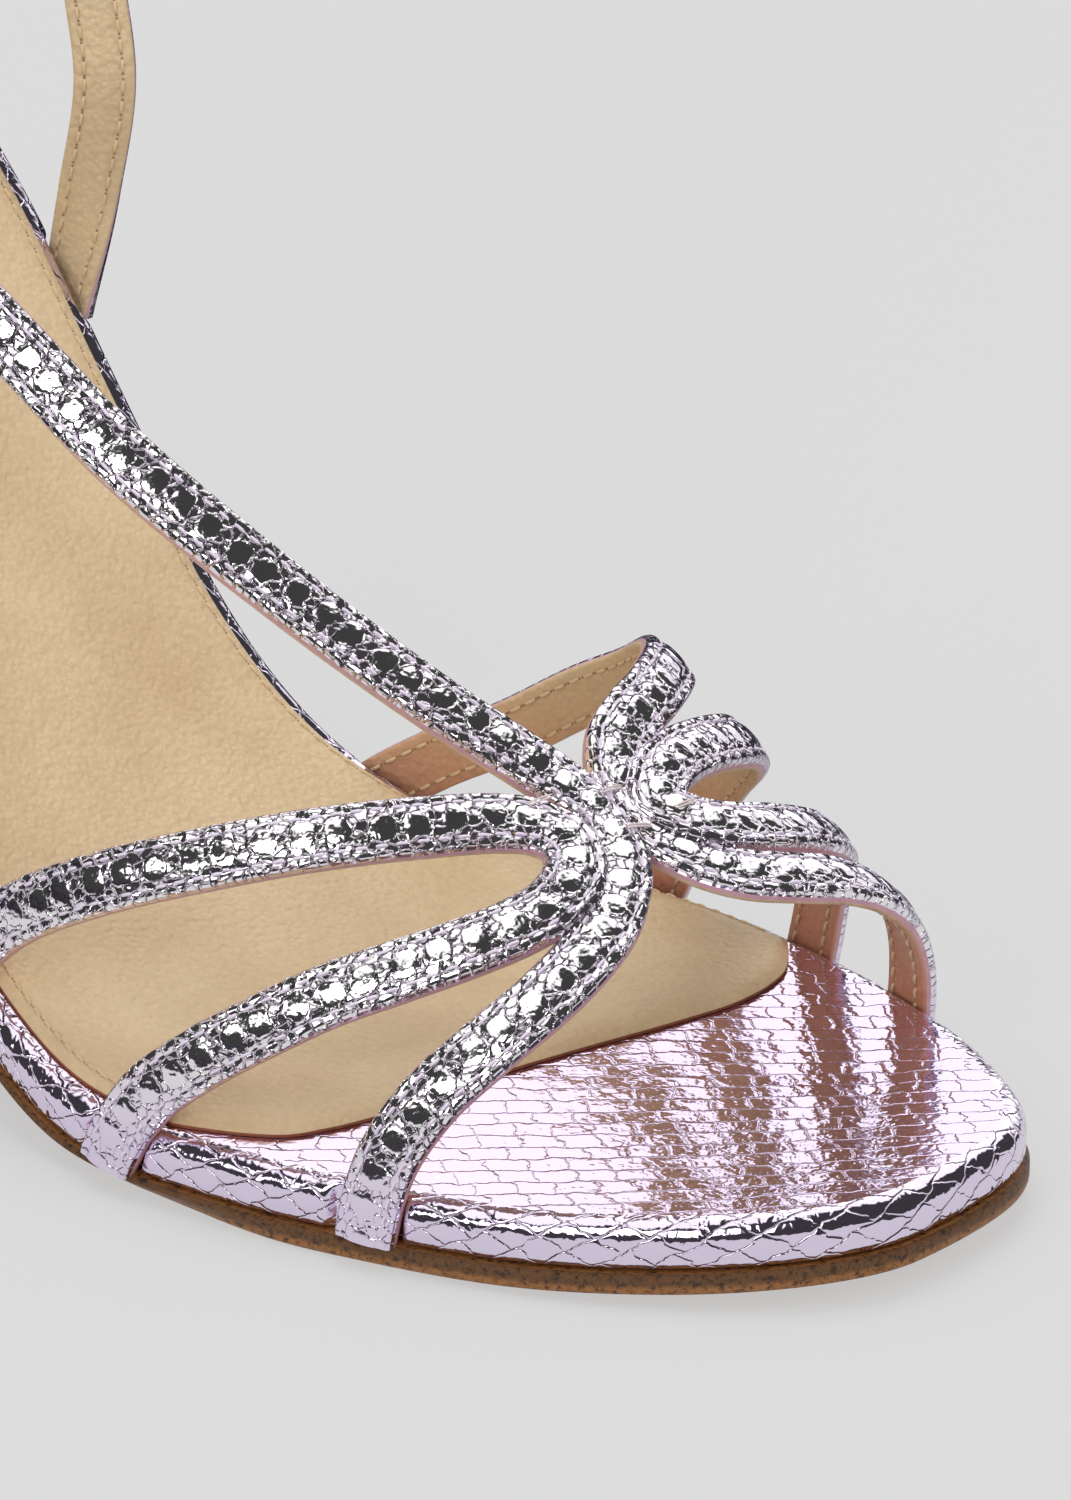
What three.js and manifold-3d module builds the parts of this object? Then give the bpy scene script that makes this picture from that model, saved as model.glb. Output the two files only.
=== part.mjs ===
// A right high-heeled sandal with folded vamp straps and a strap wrapped round the ankle.
// Millimetres: X runs to the toe, Y to the inner side of the foot (medial), Z up.
// The origin is on the floor, under the flat spot of the forefoot.
import * as THREE from 'three';
import { mergeVertices } from 'three/addons/utils/BufferGeometryUtils.js';
import Module from 'manifold-3d';

const wasm = await Module();
wasm.setup();

// Driving sizes
const soleLength = 207;         // along the floor, toe to heel
const ballWidth = 79.5;         // widest place of the sole
const heelRise = 88;            // floor to the underside of the seat, at the back
const instepHeight = 62;        // top of the insole to the vamp's ridge, at the instep
const treadStation = 0.29;      // share of the length, from the toe, where the sole is flat
const breastStation = 0.79;     // share of the length where the outsole meets the heel
const outsoleThickness = 2.3;
const platformThickness = 5.5;
const platformInset = 0.4;      // outsole's edge shows this far outside the platform
const rimRadius = 2.4;          // roll of the wrapped rim
const sockThickness = 1;
const sockInset = 3;
const strapWidth = 6.5;
const strapThickness = 2;
const strapPadding = 0.3;       // the padded middle of a strap rises this much
const strapEdge = 0.4;          // softened corner of a strap
const strapSeat = 1;            // the platform is notched this deep under a strap
const ridgeShift = 6;           // the instep's ridge lies toward the inner side
const shiftStart = 0.1;         // share of the length where the ridge starts to shift
const shiftSpan = 0.3;          // share of the length over which it shifts
const sectionPower = 2.4;       // roundness of the last's sections
const heelTipLength = 9;
const heelTipWidth = 9.2;
const heelPower = 2.3;          // roundness of the heel's sections
const topPieceThickness = 5;
const topPieceEdge = 0.5;       // softened edges
const outsoleEdge = 0.4;
const sockEdge = 0.3;
const wrapInset = 0.7;          // the platform's wrap turns under its rim by this much
const wrapTurn = 0.9;           // height of that turn
const startNotch = 20;          // a strap's foot lies in its notch for this much of its start
const endNotch = 25;            // and of its end
const wireRadius = 0.7;         // buckle frame
const buckleCorner = 1.6;
const prongRadius = 0.5;
const prongPlay = 0.1;          // the bar stands this much off, for the prong's ring
const prongKnee = 0.5;          // share of the reach where the prong bends
const prongKneeRise = 0.6;      // share of its rise at the bend
const foldWall = 0.8;           // skived strap folded round the buckle's bar
const buckleReach = 9;          // bar to bar
const buckleDistance = 212;     // along the wrap strap, from its tuck at the forefoot
const tailLength = 27;          // free end beyond the buckle's bar
const climbStart = -7;          // the wrap climbs to the bar between these places past it
const climbEnd = -3;
const dropStart = 2.2;          // drops to the upper's level between these
const dropEnd = 7.5;
const settleStart = 12;         // and settles on its route between these
const settleEnd = 30;
const holeCount = 2;
const holeStart = 4.8;          // free end to the middle of the first hole
const holeSpacing = 6;
const holeRadius = 0.9;
const keeperDistance = 9;       // keeper's middle before the buckle's bar
const keeperWidth = 4;
const keeperWall = 1;
const clearance = 0.3;          // between neighbouring pieces

// Sole outline: half widths each side of the axis, as shares of the ball width
const outlineRows = [
  { at: 0, lateral: 0, medial: 0 },
  { at: 0.012, lateral: 0.105, medial: 0.205 },
  { at: 0.036, lateral: 0.189, medial: 0.298 },
  { at: 0.072, lateral: 0.274, medial: 0.363 },
  { at: 0.135, lateral: 0.38, medial: 0.434 },
  { at: 0.208, lateral: 0.454, medial: 0.475 },
  { at: 0.29, lateral: 0.512, medial: 0.488 },
  { at: 0.367, lateral: 0.536, medial: 0.457 },
  { at: 0.454, lateral: 0.503, medial: 0.349 },
  { at: 0.556, lateral: 0.417, medial: 0.264 },
  { at: 0.652, lateral: 0.348, medial: 0.281 },
  { at: 0.754, lateral: 0.325, medial: 0.322 },
  { at: 0.85, lateral: 0.33, medial: 0.342 },
  { at: 0.928, lateral: 0.302, medial: 0.322 },
  { at: 0.976, lateral: 0.194, medial: 0.208 },
  { at: 1, lateral: 0, medial: 0 },
];

// Underside of the sole: height above the floor, as a share of the heel's rise
const riseRows = [
  { at: 0, rise: 0.034 },
  { at: 0.058, rise: 0.019 },
  { at: 0.126, rise: 0.008 },
  { at: 0.2, rise: 0.0025 },
  { at: 0.26, rise: 0 },
  { at: 0.34, rise: 0 },
  { at: 0.396, rise: 0.012 },
  { at: 0.454, rise: 0.056 },
  { at: 0.507, rise: 0.116 },
  { at: 0.58, rise: 0.258 },
  { at: 0.676, rise: 0.488 },
  { at: 0.754, rise: 0.659 },
  { at: 0.821, rise: 0.784 },
  { at: 0.879, rise: 0.879 },
  { at: 0.942, rise: 0.951 },
  { at: 1, rise: 1 },
];

// Ridge of the last over the insole, as a share of the instep's height
const ridgeRows = [
  { at: 0.039, ridge: 0.15 },
  { at: 0.097, ridge: 0.25 },
  { at: 0.164, ridge: 0.34 },
  { at: 0.232, ridge: 0.445 },
  { at: 0.314, ridge: 0.62 },
  { at: 0.386, ridge: 0.77 },
  { at: 0.459, ridge: 0.905 },
  { at: 0.531, ridge: 1.02 },
  { at: 0.628, ridge: 1.13 },
];

// Front edge of the sock: across as a share of the ball width, at as a share of the length
const sockFrontRows = [
  { across: 0.5, at: 0.285 },
  { across: 0.45, at: 0.258 },
  { across: 0.415, at: 0.244 },
  { across: 0.385, at: 0.235 },
  { across: 0.345, at: 0.229 },
  { across: 0.285, at: 0.226 },
  { across: 0.17, at: 0.232 },
  { across: 0.06, at: 0.241 },
  { across: -0.09, at: 0.252 },
  { across: -0.29, at: 0.2595 },
  { across: -0.362, at: 0.267 },
  { across: -0.414, at: 0.277 },
  { across: -0.444, at: 0.291 },
  { across: -0.5, at: 0.33 },
];

// Strap routes over the last: at is the share of the length from the toe, turn the angle
// round the section from the outer rim (0) over the ridge (90) to the inner rim (180),
// lift raises the strap by a share of its thickness where it laps another one
const outerLateralRows = [
  { at: 0.207, turn: 0 },
  { at: 0.201, turn: 12 },
  { at: 0.189, turn: 26 },
  { at: 0.176, turn: 40 },
  { at: 0.168, turn: 55 },
  { at: 0.169, turn: 66 },
  { at: 0.177, turn: 76 },
  { at: 0.193, turn: 83.5 },
  { at: 0.21, turn: 87 },
  { at: 0.231, turn: 88.5 },
  { at: 0.253, turn: 87 },
  { at: 0.31, turn: 80 },
  { at: 0.382, turn: 73 },
  { at: 0.466, turn: 63 },
  { at: 0.535, turn: 53 },
];
const innerLateralRows = [
  { at: 0.353, turn: 0, lift: 0 },
  { at: 0.334, turn: 7, lift: 0 },
  { at: 0.309, turn: 14, lift: 0 },
  { at: 0.276, turn: 24.6, lift: 0 },
  { at: 0.254, turn: 33.7, lift: 0 },
  { at: 0.231, turn: 44, lift: 0 },
  { at: 0.213, turn: 54, lift: 0.1 },
  { at: 0.201, turn: 63.5, lift: 0.3 },
  { at: 0.198, turn: 71.5, lift: 0.45 },
  { at: 0.206, turn: 78, lift: 0.5 },
  { at: 0.22, turn: 80.5, lift: 0.5 },
  { at: 0.234, turn: 79, lift: 0.45 },
  { at: 0.246, turn: 75, lift: 0.3 },
  { at: 0.27, turn: 63, lift: 0.1 },
  { at: 0.3, turn: 50, lift: 0 },
  { at: 0.331, turn: 39.6, lift: 0 },
  { at: 0.389, turn: 24.4, lift: 0 },
  { at: 0.444, turn: 11, lift: 0 },
  { at: 0.49, turn: 0, lift: 0 },
];
const outerMedialRows = [
  { at: 0.177, turn: 180 },
  { at: 0.174, turn: 171 },
  { at: 0.17, turn: 161 },
  { at: 0.164, turn: 146 },
  { at: 0.16, turn: 131 },
  { at: 0.16, turn: 119 },
  { at: 0.163, turn: 107 },
  { at: 0.172, turn: 98.5 },
  { at: 0.187, turn: 94 },
  { at: 0.214, turn: 91.5 },
  { at: 0.231, turn: 92.3 },
  { at: 0.247, turn: 94.5 },
  { at: 0.259, turn: 98 },
  { at: 0.27, turn: 104.5 },
  { at: 0.281, turn: 112.5 },
  { at: 0.303, turn: 125 },
  { at: 0.334, turn: 139 },
  { at: 0.362, turn: 149.5 },
  { at: 0.391, turn: 157.5 },
  { at: 0.427, turn: 167 },
  { at: 0.465, turn: 174.5 },
  { at: 0.497, turn: 180 },
];
const innerMedialRows = [
  { at: 0.256, turn: 180, lift: 0 },
  { at: 0.25, turn: 172, lift: 0 },
  { at: 0.241, turn: 162, lift: 0 },
  { at: 0.226, turn: 150.5, lift: 0 },
  { at: 0.21, turn: 139, lift: 0 },
  { at: 0.199, turn: 127, lift: 0 },
  { at: 0.195, turn: 115, lift: 0.1 },
  { at: 0.196, turn: 105, lift: 0.3 },
  { at: 0.204, turn: 98, lift: 0.5 },
  { at: 0.22, turn: 94.8, lift: 0.5 },
  { at: 0.234, turn: 99, lift: 0.5 },
  { at: 0.243, turn: 106, lift: 0.3 },
  { at: 0.25, turn: 115, lift: 0.1 },
  { at: 0.264, turn: 130, lift: 0 },
  { at: 0.288, turn: 146, lift: 0 },
  { at: 0.312, turn: 157, lift: 0 },
  { at: 0.335, turn: 167, lift: 0 },
  { at: 0.352, turn: 176, lift: 0 },
  { at: 0.36, turn: 180, lift: 0 },
];

// Round the ankle the strap leaves the last: across is a share of the ball width, up a share
// of the heel's rise, facing turns from the outer side (0) to the back (90) and the inner
// side (180), and lean tips the strap's face upward
const ankleRows = [
  { at: 0.628, across: -0.298, up: 1.005, facing: -12, lean: 38 },
  { at: 0.705, across: -0.35, up: 1.148, facing: -2, lean: 18 },
  { at: 0.754, across: -0.374, up: 1.245, facing: 4, lean: 8 },
  { at: 0.802, across: -0.38, up: 1.341, facing: 15, lean: 3 },
  { at: 0.879, across: -0.327, up: 1.5, facing: 40, lean: 0 },
  { at: 0.942, across: -0.189, up: 1.614, facing: 70, lean: -3 },
  { at: 0.964, across: 0, up: 1.659, facing: 90, lean: -5 },
  { at: 0.942, across: 0.189, up: 1.614, facing: 110, lean: -3 },
  { at: 0.879, across: 0.327, up: 1.489, facing: 134, lean: 0 },
  { at: 0.802, across: 0.384, up: 1.307, facing: 146, lean: 2 },
  { at: 0.744, across: 0.388, up: 1.114, facing: 143, lean: 2 },
  { at: 0.727, across: 0.377, up: 0.989, facing: 140, lean: 0 },
  { at: 0.71, across: 0.352, up: 0.886, facing: 142, lean: 0 },
  { at: 0.71, across: 0.321, up: 0.761, facing: 152, lean: 0 },
];
const ankleTuckStation = 0.717;

// Covered heel: level is a share of the heel's rise, front and back are shares of the sole's
// length from the toe, half is the half width as a share of the ball width
const heelRows = [
  { level: 0.25, front: 0.905, back: 0.956, half: 0.062 },
  { level: 0.45, front: 0.898, back: 0.962, half: 0.077 },
  { level: 0.6, front: 0.881, back: 0.971, half: 0.108 },
  { level: 0.7, front: 0.852, back: 0.981, half: 0.164 },
  { level: 0.78, front: 0.807, back: 0.991, half: 0.245 },
  { level: 0.86, front: 0.769, back: 1, half: 0.325 },
  { level: 1.15, front: 0.758, back: 1.005, half: 0.346 },
];
const heelTipStation = 0.93;

const outlineSteps = 34;
const heelSides = 28;
const wireSides = 8;
const prongSides = 16;
const strapStep = 2.5;          // longest piece of a faceted strap
const rollTurns = [0, 22.5, 45, 67.5, 90];
const cornerTurns = [0, 30, 60, 90];
const quarterTurn = 90;
const halfTurn = 180;
const routeSteps = 1200;        // for the lengths along a route
const spaceSteps = 80;
const beyondToe = -0.1;         // shares of the length, past the sole's ends
const beyondHeel = 1.1;
const clearOverhead = 3;        // shares of the heel's rise, over everything
const faceStep = 0.002;         // share of the length between the places that give a slope
const faceSwing = 1;            // degrees of turn between them
const rimMargin = 0.5;          // degrees of turn kept from the rim, where the slope is upright

const heightOverSole = outsoleThickness + platformThickness;
const treadX = treadStation * soleLength;
const radians = THREE.MathUtils.degToRad;

// Helpers: smooth columns, lofts and booleans

// A smooth curve through one column of a table, with the slope of a parabola at each row
function column(rows, name, place = (at) => at) {
  const xs = rows.map((row) => place(row.at));
  const ys = rows.map((row) => row[name]);
  const slopes = ys.map((y, i) => {
    if (i === 0) return (ys[1] - y) / (xs[1] - xs[0]);
    if (i === ys.length - 1) return (y - ys[i - 1]) / (xs[i] - xs[i - 1]);
    const before = xs[i] - xs[i - 1];
    const after = xs[i + 1] - xs[i];
    const left = (y - ys[i - 1]) / before;
    const right = (ys[i + 1] - y) / after;
    return (left * after + right * before) / (before + after);
  });
  return (at) => {
    const x = THREE.MathUtils.clamp(place(at), xs[0], xs[xs.length - 1]);
    let i = 0;
    while (i < xs.length - 2 && x > xs[i + 1]) i += 1;
    const span = xs[i + 1] - xs[i];
    const t = (x - xs[i]) / span;
    const a = 2 * t ** 3 - 3 * t ** 2 + 1;
    const b = (t ** 3 - 2 * t ** 2 + t) * span;
    const c = 3 * t ** 2 - 2 * t ** 3;
    const d = (t ** 3 - t ** 2) * span;
    return a * ys[i] + b * slopes[i] + c * ys[i + 1] + d * slopes[i + 1];
  };
}

// Rings of equal count joined side by side, with the given triangles as end caps
function loft(rings, cap) {
  const positions = rings.flat().flatMap((p) => [p.x, p.y, p.z]);
  const count = rings[0].length;
  const index = [];
  for (let r = 0; r < rings.length - 1; r += 1) {
    for (let i = 0; i < count; i += 1) {
      const a = r * count + i;
      const b = r * count + ((i + 1) % count);
      index.push(a, b, a + count, b, b + count, a + count);
    }
  }
  const last = (rings.length - 1) * count;
  for (const [a, b, c] of cap) {
    index.push(a, c, b, last + a, last + b, last + c);
  }
  return solid(positions, index);
}

function fan(count) {
  return Array.from({ length: count - 2 }, (_, i) => [0, i + 1, i + 2]);
}

// A manifold from points and triangles, turned so that its faces look outward
function solid(positions, index) {
  let volume = 0;
  const at = (i) => new THREE.Vector3().fromArray(positions, i * 3);
  for (let i = 0; i < index.length; i += 3) {
    volume += at(index[i]).dot(at(index[i + 1]).cross(at(index[i + 2])));
  }
  if (volume < 0) index.reverse();
  return new wasm.Manifold(new wasm.Mesh({
    numProp: 3,
    vertProperties: new Float32Array(positions),
    triVerts: new Uint32Array(index),
  }));
}

function fromGeometry(geometry) {
  geometry.deleteAttribute('normal');
  geometry.deleteAttribute('uv');
  const merged = mergeVertices(geometry);
  return solid(Array.from(merged.attributes.position.array), Array.from(merged.index.array));
}

function toMesh(name, shape, color, roughness, metalness) {
  const result = shape.getMesh();
  const geometry = new THREE.BufferGeometry();
  geometry.setAttribute('position', new THREE.BufferAttribute(result.vertProperties, 3));
  geometry.setIndex(new THREE.BufferAttribute(result.triVerts, 1));
  geometry.computeVertexNormals();
  const mesh = new THREE.Mesh(geometry, new THREE.MeshStandardMaterial({
    color, roughness, metalness,
  }));
  mesh.name = name;
  return mesh;
}

// The last: outline, rise and the skin over the foot

const byTurn = (at) => Math.acos(1 - 2 * THREE.MathUtils.clamp(at, 0, 1));
const lateralShare = column(outlineRows, 'lateral', byTurn);
const medialShare = column(outlineRows, 'medial', byTurn);
const riseShare = column(riseRows, 'rise');
const ridgeShare = column(ridgeRows, 'ridge');

const xAt = (at) => treadX - at * soleLength;
const atX = (x) => (treadX - x) / soleLength;
const riseAt = (at) => Math.max(0, riseShare(at)) * heelRise;

// Inner face of a strap at one place of the skin
function skinPoint(at, turn) {
  const inset = platformInset + strapSeat;
  const lateral = lateralShare(at) * ballWidth - inset;
  const medial = medialShare(at) * ballWidth - inset;
  const middle = (medial - lateral) / 2;
  const reach = (medial + lateral) / 2;
  const ridge = ridgeShare(at) * instepHeight + platformThickness - clearance;
  const side = -Math.cos(radians(turn));
  const up = Math.max(0, Math.sin(radians(turn))) ** (2 / sectionPower);
  const shift = ridgeShift * THREE.MathUtils.clamp((at - shiftStart) / shiftSpan, 0, 1);
  return new THREE.Vector3(
    xAt(at),
    middle + reach * Math.sign(side) * Math.abs(side) ** (2 / sectionPower) + shift * up,
    riseAt(at) + outsoleThickness + clearance + ridge * up,
  );
}

function skinNormal(at, turn) {
  const low = Math.max(rimMargin, turn - faceSwing);
  const high = Math.min(halfTurn - rimMargin, turn + faceSwing);
  const along = skinPoint(at - faceStep, turn).sub(skinPoint(at + faceStep, turn));
  const round = skinPoint(at, high).sub(skinPoint(at, low));
  return along.cross(round).normalize();
}

// A strap's route: points on its inner face and the way the face looks
class Route {
  constructor(places) {
    this.curve = new THREE.CatmullRomCurve3(places.map((p) => p.point), false, 'centripetal');
    this.curve.arcLengthDivisions = routeSteps;
    this.faces = new THREE.CatmullRomCurve3(places.map((p) => p.face));
    this.lifts = new THREE.CatmullRomCurve3(
      places.map((p, i) => new THREE.Vector3(i, p.lift ?? 0, 0)),
    );
    this.length = this.curve.getLength();
  }

  frame(distance) {
    const t = this.curve.getUtoTmapping(0, THREE.MathUtils.clamp(distance, 0, this.length));
    const along = this.curve.getTangent(t);
    const out = this.faces.getPoint(t);
    out.addScaledVector(along, -out.dot(along)).normalize();
    const across = new THREE.Vector3().crossVectors(along, out);
    const point = this.curve.getPoint(t).addScaledVector(out, this.lifts.getPoint(t).y);
    return { point, along, out, across };
  }
}

function onSkin({ at, turn, lift = 0 }) {
  return {
    point: skinPoint(at, turn),
    face: skinNormal(at, turn),
    lift: lift * strapThickness,
  };
}

function roundAnkle({ at, across, up, facing, lean }) {
  const level = Math.cos(radians(lean));
  return {
    point: new THREE.Vector3(xAt(at), across * ballWidth, up * heelRise),
    face: new THREE.Vector3(
      -Math.sin(radians(facing)) * level,
      -Math.cos(radians(facing)) * level,
      Math.sin(radians(lean)),
    ),
  };
}

// Below the rim a strap runs straight down, and is cut off over the outsole
function tuck(at, turn) {
  const place = onSkin({ at, turn });
  place.point.z -= strapThickness;
  return place;
}

// A strap of even width with softened corners; inner and grow set it off its route
function ribbon(route, from, to, { inner = () => 0, grow = 0, padding = strapPadding } = {}) {
  const steps = Math.ceil((to - from) / strapStep);
  const half = strapWidth / 2 + grow;
  const section = [
    [-half, strapEdge - grow],
    [-half + strapEdge, -grow],
    [half - strapEdge, -grow],
    [half, strapEdge - grow],
    [half, strapThickness - strapEdge + grow],
    [half - strapEdge, strapThickness + grow],
    [0, strapThickness + padding + grow],
    [-half + strapEdge, strapThickness + grow],
    [-half, strapThickness - strapEdge + grow],
  ];
  const rings = [];
  for (let i = 0; i <= steps; i += 1) {
    const distance = THREE.MathUtils.lerp(from, to, i / steps);
    const { point, out, across } = route.frame(distance);
    const offset = inner(distance);
    rings.push(section.map(([b, n]) => point.clone()
      .addScaledVector(across, b)
      .addScaledVector(out, n + offset)));
  }
  return loft(rings, fan(section.length));
}

// Layers of the sole: rings of the outline, set in and raised in steps

function outlineRing(inset, height) {
  const plan = [];
  for (let i = 0; i < 2 * outlineSteps; i += 1) {
    const k = i <= outlineSteps ? i : 2 * outlineSteps - i;
    const at = (1 - Math.cos(Math.PI * k / outlineSteps)) / 2;
    const half = i <= outlineSteps ? -lateralShare(at) : medialShare(at);
    plan.push(new THREE.Vector2(xAt(at), half * ballWidth));
  }
  return plan.map((p, i) => {
    const before = plan[(i + plan.length - 1) % plan.length];
    const after = plan[(i + 1) % plan.length];
    const way = after.clone().sub(before).normalize();
    const x = p.x + way.y * inset;
    const y = p.y - way.x * inset;
    return new THREE.Vector3(x, y, riseAt(atX(x)) + height);
  });
}

function outlineCap() {
  const count = 2 * outlineSteps;
  const cap = [];
  for (let k = 0; k < outlineSteps; k += 1) {
    const left = [k, k + 1];
    const right = [(count - k) % count, count - k - 1];
    if (k > 0) cap.push([left[0], left[1], right[0]]);
    if (k < outlineSteps - 1) cap.push([left[1], right[1], right[0]]);
  }
  return cap;
}

function soleLayer(steps) {
  return loft(steps.map(({ inset, height }) => outlineRing(inset, height)), outlineCap());
}

// All the space over a surface that follows the sole, wider than the shoe
function spaceOver(height, from, to) {
  const wide = ballWidth;
  const top = clearOverhead * heelRise;
  const rings = [];
  for (let i = 0; i <= spaceSteps; i += 1) {
    const at = THREE.MathUtils.lerp(from, to, i / spaceSteps);
    const x = xAt(at);
    const low = riseAt(THREE.MathUtils.clamp(at, 0, 1)) + height;
    rings.push([
      new THREE.Vector3(x, -wide, low),
      new THREE.Vector3(x, wide, low),
      new THREE.Vector3(x, wide, top),
      new THREE.Vector3(x, -wide, top),
    ]);
  }
  return loft(rings, fan(4));
}

const overOutsole = spaceOver(outsoleThickness + clearance, beyondToe, beyondHeel);

// Straps

const outerLateral = new Route([
  tuck(outerLateralRows[0].at, 0),
  ...outerLateralRows.map(onSkin),
  ...ankleRows.map(roundAnkle),
  onSkin({ at: ankleTuckStation, turn: halfTurn }),
  tuck(ankleTuckStation, halfTurn),
]);

function footToFoot(rows) {
  const first = rows[0];
  const last = rows[rows.length - 1];
  return new Route([
    tuck(first.at, first.turn),
    ...rows.map(onSkin),
    tuck(last.at, last.turn),
  ]);
}

const innerLateral = footToFoot(innerLateralRows);
const outerMedial = footToFoot(outerMedialRows);
const innerMedial = footToFoot(innerMedialRows);

// Where pieces lie over each other at the buckle, measured outward from the strap's inner face
const strapOver = strapThickness + strapPadding + clearance;
const barLevel = wireRadius + clearance + 2 * prongRadius + prongPlay;
const foldRadius = wireRadius + clearance + foldWall;
const prongRing = wireRadius + clearance + prongRadius;
const overBar = barLevel + prongRing + prongRadius + clearance;
const farBarLevel = strapThickness + strapPadding + 2 * clearance + wireRadius;

const buckle = outerLateral.frame(buckleDistance);
buckle.place = (along, out, across = 0) => buckle.point.clone()
  .addScaledVector(buckle.along, along)
  .addScaledVector(buckle.out, out)
  .addScaledVector(buckle.across, across);

// A round wire along a path of points, in a plane with the given normal
function wire(path, normal, radius) {
  const rings = path.map((p, i) => {
    const before = path[Math.max(0, i - 1)];
    const after = path[Math.min(path.length - 1, i + 1)];
    const side = after.clone().sub(before).cross(normal).normalize();
    return Array.from({ length: wireSides }, (_, k) => {
      const turn = 2 * Math.PI * k / wireSides;
      return p.clone()
        .addScaledVector(side, radius * Math.cos(turn))
        .addScaledVector(normal, radius * Math.sin(turn));
    });
  });
  return loft(rings, fan(wireSides));
}

// A closed ring of wire
function wireRing(path, normal, radius) {
  const count = path.length;
  const positions = [];
  const index = [];
  path.forEach((p, i) => {
    const before = path[(i + count - 1) % count];
    const after = path[(i + 1) % count];
    const side = after.clone().sub(before).cross(normal).normalize();
    for (let k = 0; k < wireSides; k += 1) {
      const turn = 2 * Math.PI * k / wireSides;
      positions.push(...p.clone()
        .addScaledVector(side, radius * Math.cos(turn))
        .addScaledVector(normal, radius * Math.sin(turn))
        .toArray());
      const a = i * wireSides + k;
      const b = i * wireSides + ((k + 1) % wireSides);
      const c = ((i + 1) % count) * wireSides + k;
      const d = ((i + 1) % count) * wireSides + ((k + 1) % wireSides);
      index.push(a, b, c, b, d, c);
    }
  });
  return solid(positions, index);
}

// A bar across the strap at the buckle
function crossBar(along, out, radius, halfLength) {
  const ends = [-halfLength, halfLength].map((across) => buckle.place(along, out, across));
  return wire(ends, buckle.out, radius);
}

function prong(grow) {
  const ring = Array.from({ length: prongSides }, (_, k) => {
    const turn = 2 * Math.PI * k / prongSides;
    return buckle.place(prongRing * Math.cos(turn), barLevel + prongRing * Math.sin(turn));
  });
  const tipOut = farBarLevel + wireRadius + clearance + prongRadius;
  const ringTop = barLevel + prongRing;
  const arm = [
    buckle.place(0, ringTop),
    buckle.place(buckleReach * prongKnee, THREE.MathUtils.lerp(ringTop, tipOut, prongKneeRise)),
    buckle.place(buckleReach, tipOut),
    buckle.place(buckleReach + 2 * wireRadius, tipOut),
  ];
  return wireRing(ring, buckle.across, prongRadius + grow)
    .add(wire(arm, buckle.across, prongRadius + grow));
}

function upper() {
  const fold = crossBar(0, barLevel, foldRadius, strapWidth / 2);
  const bore = crossBar(0, barLevel, wireRadius + clearance, strapWidth);
  const strap = ribbon(outerLateral, 0, buckleDistance).add(fold);
  return strap
    .add(ribbon(innerLateral, 0, innerLateral.length))
    .add(ribbon(outerMedial, 0, outerMedial.length))
    .add(ribbon(innerMedial, 0, innerMedial.length))
    .subtract(bore)
    .subtract(prong(clearance))
    .intersect(overOutsole);
}

// The free end rises over the bar and passes under the frame's far side
function wrapOffset(distance) {
  const past = distance - buckleDistance;
  const { smoothstep } = THREE.MathUtils;
  const climb = (overBar - strapOver) * smoothstep(past, climbStart, climbEnd);
  const drop = (overBar - clearance) * smoothstep(past, dropStart, dropEnd);
  const settle = clearance * smoothstep(past, settleStart, settleEnd);
  return strapOver + climb - drop - settle;
}

function ankleStrap() {
  const tailEnd = buckleDistance - tailLength;
  let shape = ribbon(outerLateral, tailEnd, outerLateral.length, { inner: wrapOffset });
  for (let i = 0; i < holeCount; i += 1) {
    const frame = outerLateral.frame(tailEnd + holeStart + holeSpacing * i);
    const ends = [strapThickness, 3 * strapThickness + strapOver]
      .map((out) => frame.point.clone().addScaledVector(frame.out, out));
    shape = shape.subtract(wire(ends, frame.along, holeRadius));
  }
  return shape.subtract(prong(clearance)).intersect(overOutsole);
}

function keeper() {
  const middle = buckleDistance - keeperDistance;
  const from = middle - keeperWidth / 2;
  const to = middle + keeperWidth / 2;
  const tall = strapOver + strapThickness + strapPadding;
  const block = (wall, beyond) => {
    const rings = [from - beyond, middle, to + beyond].map((distance) => {
      const { point, out, across } = outerLateral.frame(distance);
      const half = strapWidth / 2 + clearance + wall;
      return [
        [-half, -clearance - wall],
        [half, -clearance - wall],
        [half, tall + clearance + wall],
        [-half, tall + clearance + wall],
      ].map(([b, n]) => point.clone().addScaledVector(across, b).addScaledVector(out, n));
    });
    return loft(rings, fan(4));
  };
  return block(keeperWall, 0).subtract(block(0, 1));
}

function buckleFrame() {
  const half = strapWidth / 2 + 2 * clearance + wireRadius;
  const corners = [
    [buckleReach - buckleCorner, half - buckleCorner],
    [buckleCorner, half - buckleCorner],
    [buckleCorner, -half + buckleCorner],
    [buckleReach - buckleCorner, -half + buckleCorner],
  ];
  const tilt = (farBarLevel - barLevel) / buckleReach;
  const path = corners.flatMap(([along, across], i) => cornerTurns.map((turn) => {
    const heading = radians(quarterTurn * i + turn);
    const a = along + buckleCorner * Math.cos(heading);
    const b = across + buckleCorner * Math.sin(heading);
    return buckle.place(a, barLevel + a * tilt, b);
  }));
  const normal = buckle.out.clone().addScaledVector(buckle.along, -tilt).normalize();
  return wireRing(path, normal, wireRadius);
}

// Sole, platform, sock and heel

function outsole() {
  return soleLayer([
    { inset: outsoleEdge, height: 0 },
    { inset: 0, height: outsoleEdge },
    { inset: 0, height: outsoleThickness - outsoleEdge },
    { inset: outsoleEdge, height: outsoleThickness },
  ]).intersect(spaceOver(-heelRise, beyondToe, breastStation));
}

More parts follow.
